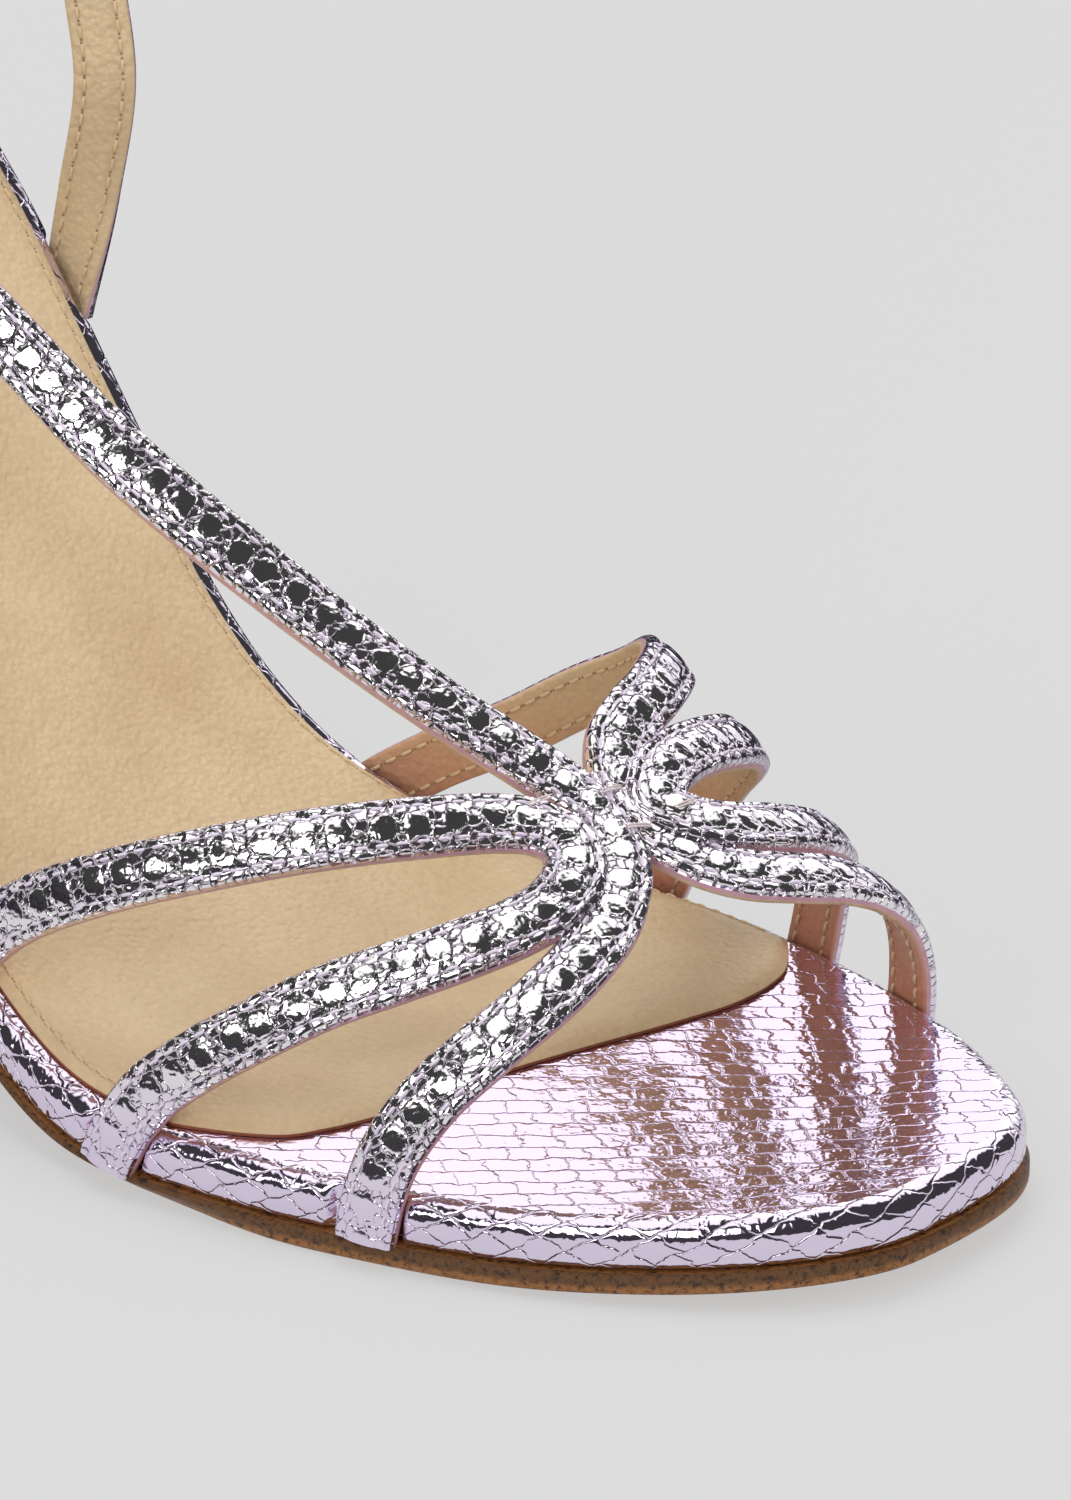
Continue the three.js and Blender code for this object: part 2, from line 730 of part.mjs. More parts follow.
function platform() {
  const roll = rollTurns.map((turn) => ({
    inset: platformInset + rimRadius * (1 - Math.cos(radians(turn))),
    height: heightOverSole - rimRadius * (1 - Math.sin(radians(turn))),
  }));
  const base = outsoleThickness + clearance;
  const steps = [
    { inset: platformInset + wrapInset, height: base },
    { inset: platformInset, height: base + wrapTurn },
    ...roll,
  ];
  const notches = [outerLateral, innerLateral, outerMedial, innerMedial].flatMap((route) => [
    ribbon(route, 0, startNotch, { grow: clearance }),
    ribbon(route, route.length - endNotch, route.length, { grow: clearance }),
  ]);
  return notches.reduce((shape, notch) => shape.subtract(notch), soleLayer(steps));
}

function sock() {
  const base = heightOverSole + clearance;
  const pad = soleLayer([
    { inset: sockInset, height: base },
    { inset: sockInset, height: base + sockThickness - sockEdge },
    { inset: sockInset + sockEdge, height: base + sockThickness },
  ]);
  const region = new THREE.Shape([
    ...sockFrontRows.map((row) => new THREE.Vector2(xAt(row.at), row.across * ballWidth)),
    new THREE.Vector2(xAt(beyondHeel), -ballWidth),
    new THREE.Vector2(xAt(beyondHeel), ballWidth),
  ]);
  const cutter = fromGeometry(new THREE.ExtrudeGeometry(region, {
    depth: 2 * heelRise, bevelEnabled: false,
  }));
  return pad.intersect(cutter);
}

function heelRing(level, front, back, half) {
  const middle = (front + back) / 2;
  const reach = (back - front) / 2;
  const power = 2 / heelPower;
  return Array.from({ length: heelSides }, (_, k) => {
    const turn = 2 * Math.PI * k / heelSides;
    const c = Math.cos(turn);
    const s = Math.sin(turn);
    return new THREE.Vector3(
      treadX - middle - reach * Math.sign(c) * Math.abs(c) ** power,
      half * Math.sign(s) * Math.abs(s) ** power,
      level,
    );
  });
}

const tipFront = heelTipStation * soleLength - heelTipLength / 2;
const tipBack = tipFront + heelTipLength;

function heel() {
  const rings = [
    heelRing(topPieceThickness + clearance, tipFront, tipBack, heelTipWidth / 2),
    ...heelRows.map((row) => heelRing(
      row.level * heelRise,
      row.front * soleLength,
      row.back * soleLength,
      row.half * ballWidth,
    )),
  ];
  const withinSole = loft([-1, clearOverhead].map((share) => outlineRing(platformInset, 0)
    .map((p) => new THREE.Vector3(p.x, p.y, share * heelRise))), outlineCap());
  return loft(rings, fan(heelSides))
    .intersect(withinSole)
    .subtract(spaceOver(outsoleThickness, beyondToe, beyondHeel))
    .subtract(spaceOver(-clearance, beyondToe, breastStation + clearance / soleLength));
}

function heelTopPiece() {
  const rings = [
    { level: 0, inset: topPieceEdge },
    { level: topPieceEdge, inset: 0 },
    { level: topPieceThickness, inset: 0 },
  ].map(({ level, inset }) => heelRing(
    level, tipFront + inset, tipBack - inset, heelTipWidth / 2 - inset,
  ));
  return loft(rings, fan(heelSides));
}

// Assembly

const lilacFoil = '#cdbfe0';
const tan = '#cdb38d';
const brown = '#8a5a30';
const gold = '#d9c9a0';
const dark = '#3a332e';

const group = new THREE.Group();
group.name = 'strappy_heeled_sandal';
group.add(
  toMesh('outsole', outsole(), brown, 0.6, 0),
  toMesh('platform', platform(), lilacFoil, 0.25, 0.9),
  toMesh('sock', sock(), tan, 0.6, 0),
  toMesh('upper', upper(), lilacFoil, 0.2, 0.9),
  toMesh('ankle_strap', ankleStrap(), lilacFoil, 0.2, 0.9),
  toMesh('strap_keeper', keeper(), lilacFoil, 0.2, 0.9),
  toMesh('buckle_frame', buckleFrame(), gold, 0.2, 1),
  toMesh('buckle_prong', prong(0), gold, 0.2, 1),
  toMesh('heel', heel(), lilacFoil, 0.25, 0.9),
  toMesh('heel_top_piece', heelTopPiece(), dark, 0.8, 0),
);

export default group;
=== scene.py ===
# A right heeled sandal in lilac foil leather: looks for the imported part.
# Lengths are millimetres in the part's own frame, and metres once a mesh is made.
import math

import bpy
import numpy as np
from mathutils import Matrix, Vector
from mathutils.geometry import delaunay_2d_cdt


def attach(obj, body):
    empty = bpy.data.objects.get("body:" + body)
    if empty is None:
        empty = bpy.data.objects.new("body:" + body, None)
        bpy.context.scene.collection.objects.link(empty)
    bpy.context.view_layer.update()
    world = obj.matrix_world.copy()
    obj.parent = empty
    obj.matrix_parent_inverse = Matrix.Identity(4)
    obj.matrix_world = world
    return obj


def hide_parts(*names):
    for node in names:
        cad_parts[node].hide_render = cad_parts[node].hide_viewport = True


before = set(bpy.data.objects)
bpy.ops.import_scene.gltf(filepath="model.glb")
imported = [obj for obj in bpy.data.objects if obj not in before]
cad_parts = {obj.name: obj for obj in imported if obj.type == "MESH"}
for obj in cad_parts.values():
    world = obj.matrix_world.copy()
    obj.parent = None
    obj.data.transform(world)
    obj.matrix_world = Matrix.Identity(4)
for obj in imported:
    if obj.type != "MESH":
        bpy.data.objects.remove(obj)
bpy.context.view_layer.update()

# Camera
# A long lens looks down on the outer front side of the shoe, close in on its forefoot, from
# a metre and a half away. The photo is 1071 by 1500 pixels.
MM = 0.001
camera_azimuth = math.radians(44.99)
camera_elevation = math.radians(24.78)
camera_roll = math.radians(0.32)
camera_distance = 1500
camera_target = Vector((17.75, -12.2, 49.01))
photo_height = 1500          # pixels
focal_length = 15090         # pixels
sensor_width = 36

level = math.cos(camera_elevation)
back = Vector((
    math.sin(camera_azimuth) * level,
    -math.cos(camera_azimuth) * level,
    math.sin(camera_elevation),
))
flat_right = Vector((math.cos(camera_azimuth), math.sin(camera_azimuth), 0))
flat_up = back.cross(flat_right)
right = flat_right * math.cos(camera_roll) + flat_up * math.sin(camera_roll)
up = flat_up * math.cos(camera_roll) - flat_right * math.sin(camera_roll)
lens = bpy.data.cameras.new("camera")
lens.sensor_width = sensor_width
lens.lens = focal_length / photo_height * sensor_width
lens.clip_end = 100
camera = bpy.data.objects.new("camera", lens)
camera.matrix_world = Matrix.Translation((camera_target + camera_distance * back) * MM) @ Matrix(
    (right, up, back)
).transposed().to_4x4()
bpy.context.scene.collection.objects.link(camera)
bpy.context.scene.camera = camera


# Floor and light
# A plain pale floor under even white light and three soft boxes. The foil mirrors another
# room: dark, with bright panels that only glossy rays see, placed so that its blacks and
# whites fall about where they do in the photo.
def linear(hex_color):
    """The linear red, green, blue and alpha of an sRGB hex colour."""
    parts = [int(hex_color[i:i + 2], 16) / 255 for i in (1, 3, 5)]
    return [c / 12.92 if c <= 0.04045 else ((c + 0.055) / 1.055) ** 2.4 for c in parts] + [1]


def feed(tree, node, inputs):
    """Gives a node's sockets, by name or number, a value or another node."""
    for name, value in inputs.items():
        if isinstance(value, bpy.types.Node):
            value = value.outputs[0]
        if isinstance(value, bpy.types.NodeSocket):
            tree.links.new(value, node.inputs[name])
        else:
            node.inputs[name].default_value = value


def add(tree, kind, inputs=None, **settings):
    """Adds a node with its settings and inputs."""
    made = tree.nodes.new("ShaderNode" + kind)
    for name, value in settings.items():
        setattr(made, name, value)
    feed(tree, made, inputs or {})
    return made


def calc(tree, operation, *values):
    """A number worked out from others."""
    return add(tree, "Math", dict(enumerate(values)), operation=operation)


def calc_vector(tree, operation, *values):
    """A vector, or a dot product, worked out from others."""
    return add(tree, "VectorMath", dict(enumerate(values)), operation=operation)


def remap(tree, value, low=0.0, high=1.0, start=0.0, end=1.0):
    """A value taken from one range to another, and held at both ends."""
    return add(tree, "MapRange", {0: value, 1: low, 2: high, 3: start, 4: end})


def blend(tree, share, first, second, **settings):
    """The colour between two by a share, or what blend_type makes of them."""
    mixed = add(tree, "Mix", {0: share, 6: first, 7: second}, data_type="RGBA", **settings)
    return mixed.outputs[2]


def ramp(tree, value, low, dark, high, light):
    """The colour between a dark and a light one by a value between a low and a high one."""
    made = add(tree, "ValToRGB", {0: value})
    for number, (position, color) in enumerate(((low, dark), (high, light))):
        made.color_ramp.elements[number].position = position
        made.color_ramp.elements[number].color = linear(color)
    return made


def emboss(tree, surface, height, depth, strength=1.0):
    """Raises a surface by a height, to a depth in millimetres."""
    relief = add(tree, "Bump", {"Strength": strength, "Distance": depth * MM, "Height": height})
    feed(tree, surface, {"Normal": relief})


def new_material(name):
    """An empty material, its node tree and its surface node."""
    material = bpy.data.materials.new(name)
    material.use_nodes = True
    tree = material.node_tree
    tree.nodes.clear()
    surface = add(tree, "BsdfPrincipled")
    add(tree, "OutputMaterial", {"Surface": surface})
    return material, tree, surface


def mottled(name, dark, light, roughness, scale, detail=2.0, stretch=None):
    """A material in two tones that a noise mixes, with its scale per metre."""
    material, tree, surface = new_material(name)
    place = add(tree, "TexCoord").outputs["Object"]
    if stretch:
        place = calc_vector(tree, "MULTIPLY", place, stretch)
    noise = add(tree, "TexNoise", {"Vector": place, "Scale": scale, "Detail": detail})
    tone = blend(tree, noise, linear(dark), linear(light))
    feed(tree, surface, {"Base Color": tone, "Roughness": roughness})
    return material, tree, surface, noise


floor_reach = 5000
floor_glow = 0.5
table_far = (20, 140)         # where the mirrored table turns dark, away from the camera
table_round = (140, 180)      # and all round
floor_material, tree, surface = new_material("matt_paper_floor")
paper_mottle = add(tree, "TexNoise", {"Scale": 3.0, "Detail": 2.0})
paper_tone = remap(tree, paper_mottle, start=0.985, end=1.0)
paper_color = blend(tree, 1.0, linear("#727272"), paper_tone, blend_type="MULTIPLY")
feed(tree, surface, {"Base Color": paper_color,
                     "Roughness": 0.9,
                     "Specular IOR Level": 0.0,
                     "Emission Color": linear("#ffffff"),
                     "Emission Strength": floor_glow})
away = (-math.sin(camera_azimuth), math.cos(camera_azimuth), 0)
# The table ends in the dark round the shoe, as the foil mirrors it
table_place = add(tree, "TexCoord")
table_depth = calc_vector(tree, "DOT_PRODUCT", table_place.outputs["Object"], away)
table_side = calc_vector(tree, "LENGTH", table_place.outputs["Object"])
far_end = remap(tree, table_depth.outputs["Value"], *[reach * MM for reach in table_far])
near_end = remap(tree, table_side.outputs["Value"], *[reach * MM for reach in table_round])
beyond = calc(tree, "MAXIMUM", far_end, near_end)
ray = add(tree, "LightPath")
mirrored = calc(tree, "MULTIPLY", ray.outputs["Is Glossy Ray"], beyond)
dark_end = add(tree, "BsdfDiffuse", {"Color": linear("#2a2630")})
table = add(tree, "MixShader", {0: mirrored, 1: surface, 2: dark_end})
tree.links.new(table.outputs[0], tree.nodes["Material Output"].inputs["Surface"])
floor_mesh = bpy.data.meshes.new("floor")
floor_mesh.from_pydata(
    [(x * floor_reach * MM, y * floor_reach * MM, 0)
     for x, y in ((-1, -1), (1, -1), (1, 1), (-1, 1))],
    [], [(0, 1, 2, 3)],
)
floor_mesh.materials.append(floor_material)
floor = bpy.data.objects.new("floor", floor_mesh)
bpy.context.scene.collection.objects.link(floor)

world = bpy.data.worlds.new("studio")
world.use_nodes = True
bpy.context.scene.world = world
tree = world.node_tree
tree.nodes.clear()
view_way = add(tree, "TexCoord")
heading = add(tree, "SeparateXYZ", {0: view_way.outputs["Generated"]})
behind = calc_vector(tree, "DOT_PRODUCT", view_way.outputs["Generated"], away).outputs["Value"]
beside = calc_vector(
    tree, "DOT_PRODUCT", view_way.outputs["Generated"], flat_right).outputs["Value"]
over = heading.outputs[2]


def band(tree, value, low, high, edge):
    """1 between two limits of a direction's part, and 0 outside, with a soft edge."""
    rise = remap(tree, value, low - edge, low + edge)
    fall = remap(tree, value, high - edge, high + edge, 1.0, 0.0)
    return calc(tree, "MULTIPLY", rise, fall)


def zone(tree, over_limits, beside_limits, behind_limits, edge=0.03):
    """A light panel: the directions between limits over, beside and behind the shoe."""
    panel = 1.0
    for value, limits in ((over, over_limits), (beside, beside_limits), (behind, behind_limits)):
        panel = calc(tree, "MULTIPLY", band(tree, value, *limits, edge), panel)
    return panel


panels = (
    (4.0, zone(tree, (0.42, 0.86), (-2, -0.06), (-2, -0.52))),     # key box
    (1.2, zone(tree, (0.7, 0.95), (-0.45, -0.27), (-0.38, -0.28))),  # strip above it
    (2.6, zone(tree, (0.3, 0.54), (-2, -0.7), (-0.47, -0.28))),    # its left wing
    (1.2, zone(tree, (0.82, 2), (-2, 0.02), (-0.28, 2))),          # ceiling on the left
    (1.2, zone(tree, (0.55, 0.95), (-0.1, 0.5), (0.26, 0.8))),     # ceiling behind
    (1.25, zone(tree, (0.1, 0.66), (-0.55, 0.42), (0.72, 2))),     # wall behind
    (0.9, zone(tree, (-0.3, 0.32), (0.2, 0.6), (0.7, 2))),         # low screen at the right
)
mirrored_dark = 0.045
white_light = 0.74
lit = mirrored_dark
for power, panel in panels:
    lit = calc(tree, "MULTIPLY_ADD", panel, power, lit)
ray = add(tree, "LightPath")
strength = add(tree, "Mix", {0: ray.outputs["Is Glossy Ray"], 2: white_light, 3: lit},
               data_type="FLOAT")
sky = add(tree, "Background", {"Color": linear("#ffffff"), "Strength": strength})
add(tree, "OutputWorld", {"Surface": sky})


def soft_box(name, place, aim, width, height, watts):
    """A rectangular soft light at a place, facing another."""
    light = bpy.data.lights.new(name, "AREA")
    light.shape = "RECTANGLE"
    light.size = width * MM
    light.size_y = height * MM
    light.energy = watts
    box = bpy.data.objects.new(name, light)
    box.location = Vector(place) * MM
    box.rotation_euler = (Vector(aim) - Vector(place)).to_track_quat("-Z", "Y").to_euler()
    box.visible_glossy = False
    bpy.context.scene.collection.objects.link(box)


soft_box("overhead_soft_box", (-250, 150, 1500), (-20, 0, 20), 900, 700, 10)
soft_box("side_soft_box", (1100, 700, 900), (-20, 0, 20), 500, 900, 5)
soft_box("front_soft_box", (300, -1300, 500), (-20, 0, 40), 700, 700, 6)
bpy.context.scene.view_settings.view_transform = "Standard"

# Leather outsole
# One flat cut of brown sole leather from the toe to the front of the heel, bent to the arch.
# Its cut edge is burnished, and darkened toward its top as painted shade where it meets the
# platform.
sole_length = 207
ball_width = 79.5
heel_rise = 88
instep_height = 62
tread_station = 0.29
breast_station = 0.79
outsole_thickness = 2.3
clearance = 0.3

outline_at = (0, 0.012, 0.036, 0.072, 0.135, 0.208, 0.29, 0.367, 0.454, 0.556, 0.652, 0.754,
              0.85, 0.928, 0.976, 1)
outline_lateral = (0, 0.105, 0.189, 0.274, 0.38, 0.454, 0.512, 0.536, 0.503, 0.417, 0.348,
                   0.325, 0.33, 0.302, 0.194, 0)
outline_medial = (0, 0.205, 0.298, 0.363, 0.434, 0.475, 0.488, 0.457, 0.349, 0.264, 0.281,
                  0.322, 0.342, 0.322, 0.208, 0)
rise_at = (0, 0.058, 0.126, 0.2, 0.26, 0.34, 0.396, 0.454, 0.507, 0.58, 0.676, 0.754, 0.821,
           0.879, 0.942, 1)
rise_share = (0.034, 0.019, 0.008, 0.0025, 0, 0, 0.012, 0.056, 0.116, 0.258, 0.488, 0.659,
              0.784, 0.879, 0.951, 1)


def smooth_column(xs, ys):
    """A smooth curve through a column of values, with a parabola's slope at each."""
    xs = np.array(xs, float)
    ys = np.array(ys, float)
    spans = np.diff(xs)
    rates = np.diff(ys) / spans
    slopes = np.empty_like(ys)
    slopes[0] = rates[0]
    slopes[-1] = rates[-1]
    slopes[1:-1] = (rates[:-1] * spans[1:] + rates[1:] * spans[:-1]) / (spans[:-1] + spans[1:])

    def value(x):
        x = np.clip(x, xs[0], xs[-1])
        i = np.clip(np.searchsorted(xs, x, side="right") - 1, 0, len(spans) - 1)
        t = (x - xs[i]) / spans[i]
        return (
            (2 * t ** 3 - 3 * t ** 2 + 1) * ys[i]
            + (t ** 3 - 2 * t ** 2 + t) * spans[i] * slopes[i]
            + (3 * t ** 2 - 2 * t ** 3) * ys[i + 1]
            + (t ** 3 - t ** 2) * spans[i] * slopes[i + 1]
        )
    return value


def outline_turn(at):
    return np.arccos(1 - 2 * np.clip(at, 0, 1))


lateral_by_turn = smooth_column(outline_turn(np.array(outline_at)), outline_lateral)
medial_by_turn = smooth_column(outline_turn(np.array(outline_at)), outline_medial)
rise_by_station = smooth_column(rise_at, rise_share)


def half_width(at, side):
    """Distance from the axis to the outline: side is -1 for the outer and 1 for the inner."""
    by_turn = lateral_by_turn if side < 0 else medial_by_turn
    return by_turn(outline_turn(at)) * ball_width


def sole_rise(x):
    at = tread_station - x / sole_length
    return np.maximum(0, rise_by_station(at)) * heel_rise


def full_turn(sides):
    """Equal steps once round, without the last, which is the first again."""
    return np.linspace(0, 2 * math.pi, sides + 1)[:-1]


def unit(ways):
    """Rows of vectors, each of length 1."""
    return ways / np.linalg.norm(ways, axis=1)[:, None]


class Shell:
    """Collects points, faces, each face's finish and pattern places, and makes one mesh."""

    def __init__(self):
        self.points = []
        self.faces = []
        self.finishes = []
        self.flows = []
        self.count = 0

    def add(self, points, faces, finishes, flows=None):
        """Points, faces, a finish for all or each face, and the pattern's place at each point."""
        points = np.asarray(points, float).reshape(-1, 3)
        flows = np.zeros(points.shape) if flows is None else np.asarray(flows, float)
        faces = [[i + self.count for i in face] for face in np.asarray(faces).tolist()]
        if np.ndim(finishes) == 0:
            finishes = [finishes] * len(faces)
        self.points.append(points)
        self.faces += faces
        self.finishes += list(finishes)
        self.flows.append(flows.reshape(-1, 3))
        self.count += len(points)

    def make(self, name, materials, sharp_angle=50):
        """The piece, smooth but for edges sharper than the angle."""
        mesh = bpy.data.meshes.new(name)
        mesh.from_pydata((np.vstack(self.points) * MM).tolist(), [], self.faces)
        for material in materials:
            mesh.materials.append(material)
        mesh.polygons.foreach_set("material_index", self.finishes)
        flow = mesh.attributes.new("flow", "FLOAT_VECTOR", "POINT")
        flow.data.foreach_set("vector", np.vstack(self.flows).astype(np.float32).ravel())
        mesh.validate()
        mesh.shade_smooth()
        mesh.set_sharp_from_angle(angle=math.radians(sharp_angle))
        piece = bpy.data.objects.new(name, mesh)
        bpy.context.scene.collection.objects.link(piece)
        return piece


def grid_faces(rows, columns, closed=False):
    """Quads of a grid of points, in rows; closed joins each row's ends."""
    r, c = np.meshgrid(np.arange(rows - 1), np.arange(columns if closed else columns - 1),
                       indexing="ij")
    after = (c + 1) % columns
    a = r * columns + c
    b = r * columns + after
    return np.stack([a, b, b + columns, a + columns], -1).reshape(-1, 4)


def end_faces(count):
    """The two faces that close a row of rings, on its first and last ring."""
    return [list(range(count)), list(range(count, 2 * count))[::-1]]


def stations(ends_at):
    """Shares of the length, close together at the round ends and wherever a strap tucks in."""
    fine_step = 0.5
    toe_end = 0.12
    heel_start = 0.76
    turns = np.linspace(0, math.pi, 121)
    shares = (1 - np.cos(turns)) / 2
    middle = np.arange(toe_end, heel_start, fine_step / sole_length)
    shares = np.concatenate([shares[(shares < toe_end) | (shares > heel_start)], middle])
    return np.append(np.sort(shares[shares < ends_at - 0.001]), ends_at)


def outline_ring(shares, inset, height):
    """Points from the outer side's end round the toe to the inner side's end, set in and
    raised over the sole; inset may be a function of a point's x and side."""
    lateral = np.stack([
        (tread_station - shares) * sole_length, -half_width(shares, -1)], -1)[::-1]
    medial = np.stack([
        (tread_station - shares) * sole_length, half_width(shares, 1)], -1)[1:]
    plan = np.vstack([lateral, medial])
    sides = np.sign(plan[:, 1] + 1e-9)
    way = np.gradient(plan, axis=0)
    if shares[-1] == 1:
        way[0] = way[-1] = (0, 1)
        way[0, 1] = way[-1, 1] = -1
    way = unit(way)
    depth = inset(plan[:, 0], sides) if callable(inset) else inset
    placed = plan + np.stack([-way[:, 1], way[:, 0]], -1) * np.reshape(depth, (-1, 1))
    if shares[-1] == 1:
        placed[0, 1] = placed[-1, 1] = 0
        ends = (placed[0, 0] + placed[-1, 0]) / 2
        placed[0, 0] = placed[-1, 0] = ends
    return np.column_stack([placed, sole_rise(placed[:, 0]) + height])


def sole_layer(shell, shares, steps, wall, top, bottom, across=16):
    """A layer that follows the sole: rings by inset and height up its side, and its two faces."""
    rings = np.array([outline_ring(shares, inset, height) for inset, height in steps])
    count = rings.shape[1]
    around = np.concatenate([[0], np.cumsum(np.linalg.norm(np.diff(rings[-1], axis=0), axis=1))])
    rising = np.concatenate([[0], np.cumsum(np.median(
        np.linalg.norm(np.diff(rings, axis=0), axis=2), axis=1))])
    flows = np.zeros(rings.shape)
    flows[..., 0] = around
    flows[..., 1] = rising[:, None]
    shell.add(rings, grid_faces(len(steps), count), wall, flows)
    shares_in = np.linspace(0, 1, across)[:, None, None]
    rows = count // 2 + 1
    for ring, finish, turned in ((rings[-1], top, False), (rings[0], bottom, True)):
        outer = ring[:rows][::-1]
        inner = ring[rows - 1:]
        face = outer[None] * (1 - shares_in) + inner[None] * shares_in
        face[..., 2] += sole_rise(face[..., 0]) - (
            sole_rise(outer[:, 0])[None] * (1 - shares_in[..., 0])
            + sole_rise(inner[:, 0])[None] * shares_in[..., 0])
        quads = grid_faces(across, rows)
        shell.add(face, quads[:, ::-1] if turned else quads, finish)
    if shares[-1] < 1:
        end = np.vstack([rings[:, 0], rings[::-1, -1]])
        shell.add(end, [list(range(len(end)))[::-1]], bottom)


# Burnished vegetable-tanned sole leather: satin brown, with lighter and darker fibres
# drawn along the cut edge
burnished, tree, surface = new_material("burnished_sole_leather")
place = add(tree, "TexCoord")
edge_flow = add(tree, "Attribute", attribute_name="flow")
fibre_place = calc_vector(tree, "MULTIPLY", edge_flow.outputs["Vector"], (1.6, 2.6, 1))
fibres = add(tree, "TexNoise", {"Vector": fibre_place, "Scale": 3.4, "Detail": 5.0,
                                "Roughness": 0.75})
specks = add(tree, "TexNoise", {"Vector": place.outputs["Object"], "Scale": 1500.0, "Detail": 4.0,
                                "Roughness": 0.7})
mixed = calc(tree, "ADD", fibres, specks)
brown = ramp(tree, mixed, 0.86, "#331d0d", 1.0, "#9a6636")
# Painted shade: the top of the cut edge is darkened to 40 per cent, where it meets the platform
level_up = add(tree, "SeparateXYZ", {0: edge_flow.outputs["Vector"]})
painted_top_shade = remap(tree, level_up.outputs[1], outsole_thickness * 0.62, outsole_thickness, 1.0, 0.4)
edge_brown = blend(tree, 1.0, brown, painted_top_shade, blend_type="MULTIPLY")
feed(tree, surface, {"Base Color": edge_brown, "Roughness": 0.48})
emboss(tree, surface, mixed, 0.2, 0.6)

edge_soft = 0.5
waist_bevel = 2.2
bevel_from = 12
bevel_full = -12
outsole_shares = stations(breast_station)


def bevelled(inset, share):
    """The inset of the outsole's wall, more toward its foot where the waist is trimmed."""
    def depth(x, side):
        waist = np.clip((bevel_from - x) / (bevel_from - bevel_full), 0, 1)
        return inset + waist_bevel * share * waist * waist * (3 - 2 * waist)
    return depth


shell = Shell()
sole_layer(shell, outsole_shares, [
    (bevelled(edge_soft, 1), 0),
    (bevelled(edge_soft * 0.3, 0.95), edge_soft * 0.3),
    (bevelled(0, 0.8), edge_soft),
    (0, outsole_thickness - edge_soft),
    (edge_soft * 0.3, outsole_thickness - edge_soft * 0.3),
    (edge_soft, outsole_thickness),
], 0, 0, 0)
outsole = shell.make("leather_outsole", [burnished])
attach(outsole, "root")
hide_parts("outsole")

# Strap routes
# Each strap is cut on the flat and lasted over the foot: its line is given by its place
# along the sole and its turn round the foot from the outer rim over the ridge to the inner.
ridge_at = (0.039, 0.097, 0.164, 0.232, 0.314, 0.386, 0.459, 0.531, 0.628)
ridge_share = (0.15, 0.25, 0.34, 0.445, 0.62, 0.77, 0.905, 1.02, 1.13)
ridge_by_station = smooth_column(ridge_at, ridge_share)
platform_thickness = 5.5
platform_inset = 0.4
strap_seat = 1
strap_width = 6.5
strap_thickness = 2
ridge_shift = 6
shift_start = 0.1
shift_span = 0.3
section_power = 2.4

# Rows of station, turn and lift
outer_lateral_rows = (
    (0.207, 0, 0), (0.201, 12, 0), (0.189, 26, 0), (0.176, 40, 0), (0.168, 55, 0),
    (0.169, 66, 0), (0.177, 76, 0), (0.193, 83.5, 0), (0.21, 87, 0), (0.231, 88.5, 0),
    (0.253, 87, 0), (0.31, 80, 0), (0.382, 73, 0), (0.466, 63, 0), (0.535, 53, 0),
)
inner_lateral_rows = (
    (0.353, 0, 0), (0.334, 7, 0), (0.309, 14, 0), (0.276, 24.6, 0), (0.254, 33.7, 0),
    (0.231, 44, 0), (0.213, 54, 0.1), (0.201, 63.5, 0.3), (0.198, 71.5, 0.45),
    (0.206, 78, 0.5), (0.22, 80.5, 0.5), (0.234, 79, 0.45), (0.246, 75, 0.3),
    (0.27, 63, 0.1), (0.3, 50, 0), (0.331, 39.6, 0), (0.389, 24.4, 0), (0.444, 11, 0),
    (0.49, 0, 0),
)
outer_medial_rows = (
    (0.177, 180, 0), (0.174, 171, 0), (0.17, 161, 0), (0.164, 146, 0), (0.16, 131, 0),
    (0.16, 119, 0), (0.163, 107, 0), (0.172, 98.5, 0), (0.187, 94, 0), (0.214, 91.5, 0),
    (0.231, 92.3, 0), (0.247, 94.5, 0), (0.259, 98, 0), (0.27, 104.5, 0), (0.281, 112.5, 0),
    (0.303, 125, 0), (0.334, 139, 0), (0.362, 149.5, 0), (0.391, 157.5, 0), (0.427, 167, 0),
    (0.465, 174.5, 0), (0.497, 180, 0),
)
inner_medial_rows = (
    (0.256, 180, 0), (0.25, 172, 0), (0.241, 162, 0), (0.226, 150.5, 0), (0.21, 139, 0),
    (0.199, 127, 0), (0.195, 115, 0.1), (0.196, 105, 0.3), (0.204, 98, 0.5), (0.22, 94.8, 0.5),
    (0.234, 99, 0.5), (0.243, 106, 0.3), (0.25, 115, 0.1), (0.264, 130, 0), (0.288, 146, 0),
    (0.312, 157, 0), (0.335, 167, 0), (0.352, 176, 0), (0.36, 180, 0),
)
# Rows of station, across, up, facing and lean, where the strap leaves the last
ankle_rows = (
    (0.628, -0.298, 1.005, -12, 38), (0.705, -0.35, 1.148, -2, 18), (0.754, -0.374, 1.245, 4, 8),
    (0.802, -0.38, 1.341, 15, 3), (0.879, -0.327, 1.5, 40, 0), (0.942, -0.189, 1.614, 70, -3),
    (0.964, 0, 1.659, 90, -5), (0.942, 0.189, 1.614, 110, -3), (0.879, 0.327, 1.489, 134, 0),
    (0.802, 0.384, 1.307, 146, 2), (0.744, 0.388, 1.114, 143, 2), (0.727, 0.377, 0.989, 140, 0),
    (0.71, 0.352, 0.886, 142, 0), (0.71, 0.321, 0.761, 152, 0),
)
ankle_tuck_station = 0.717


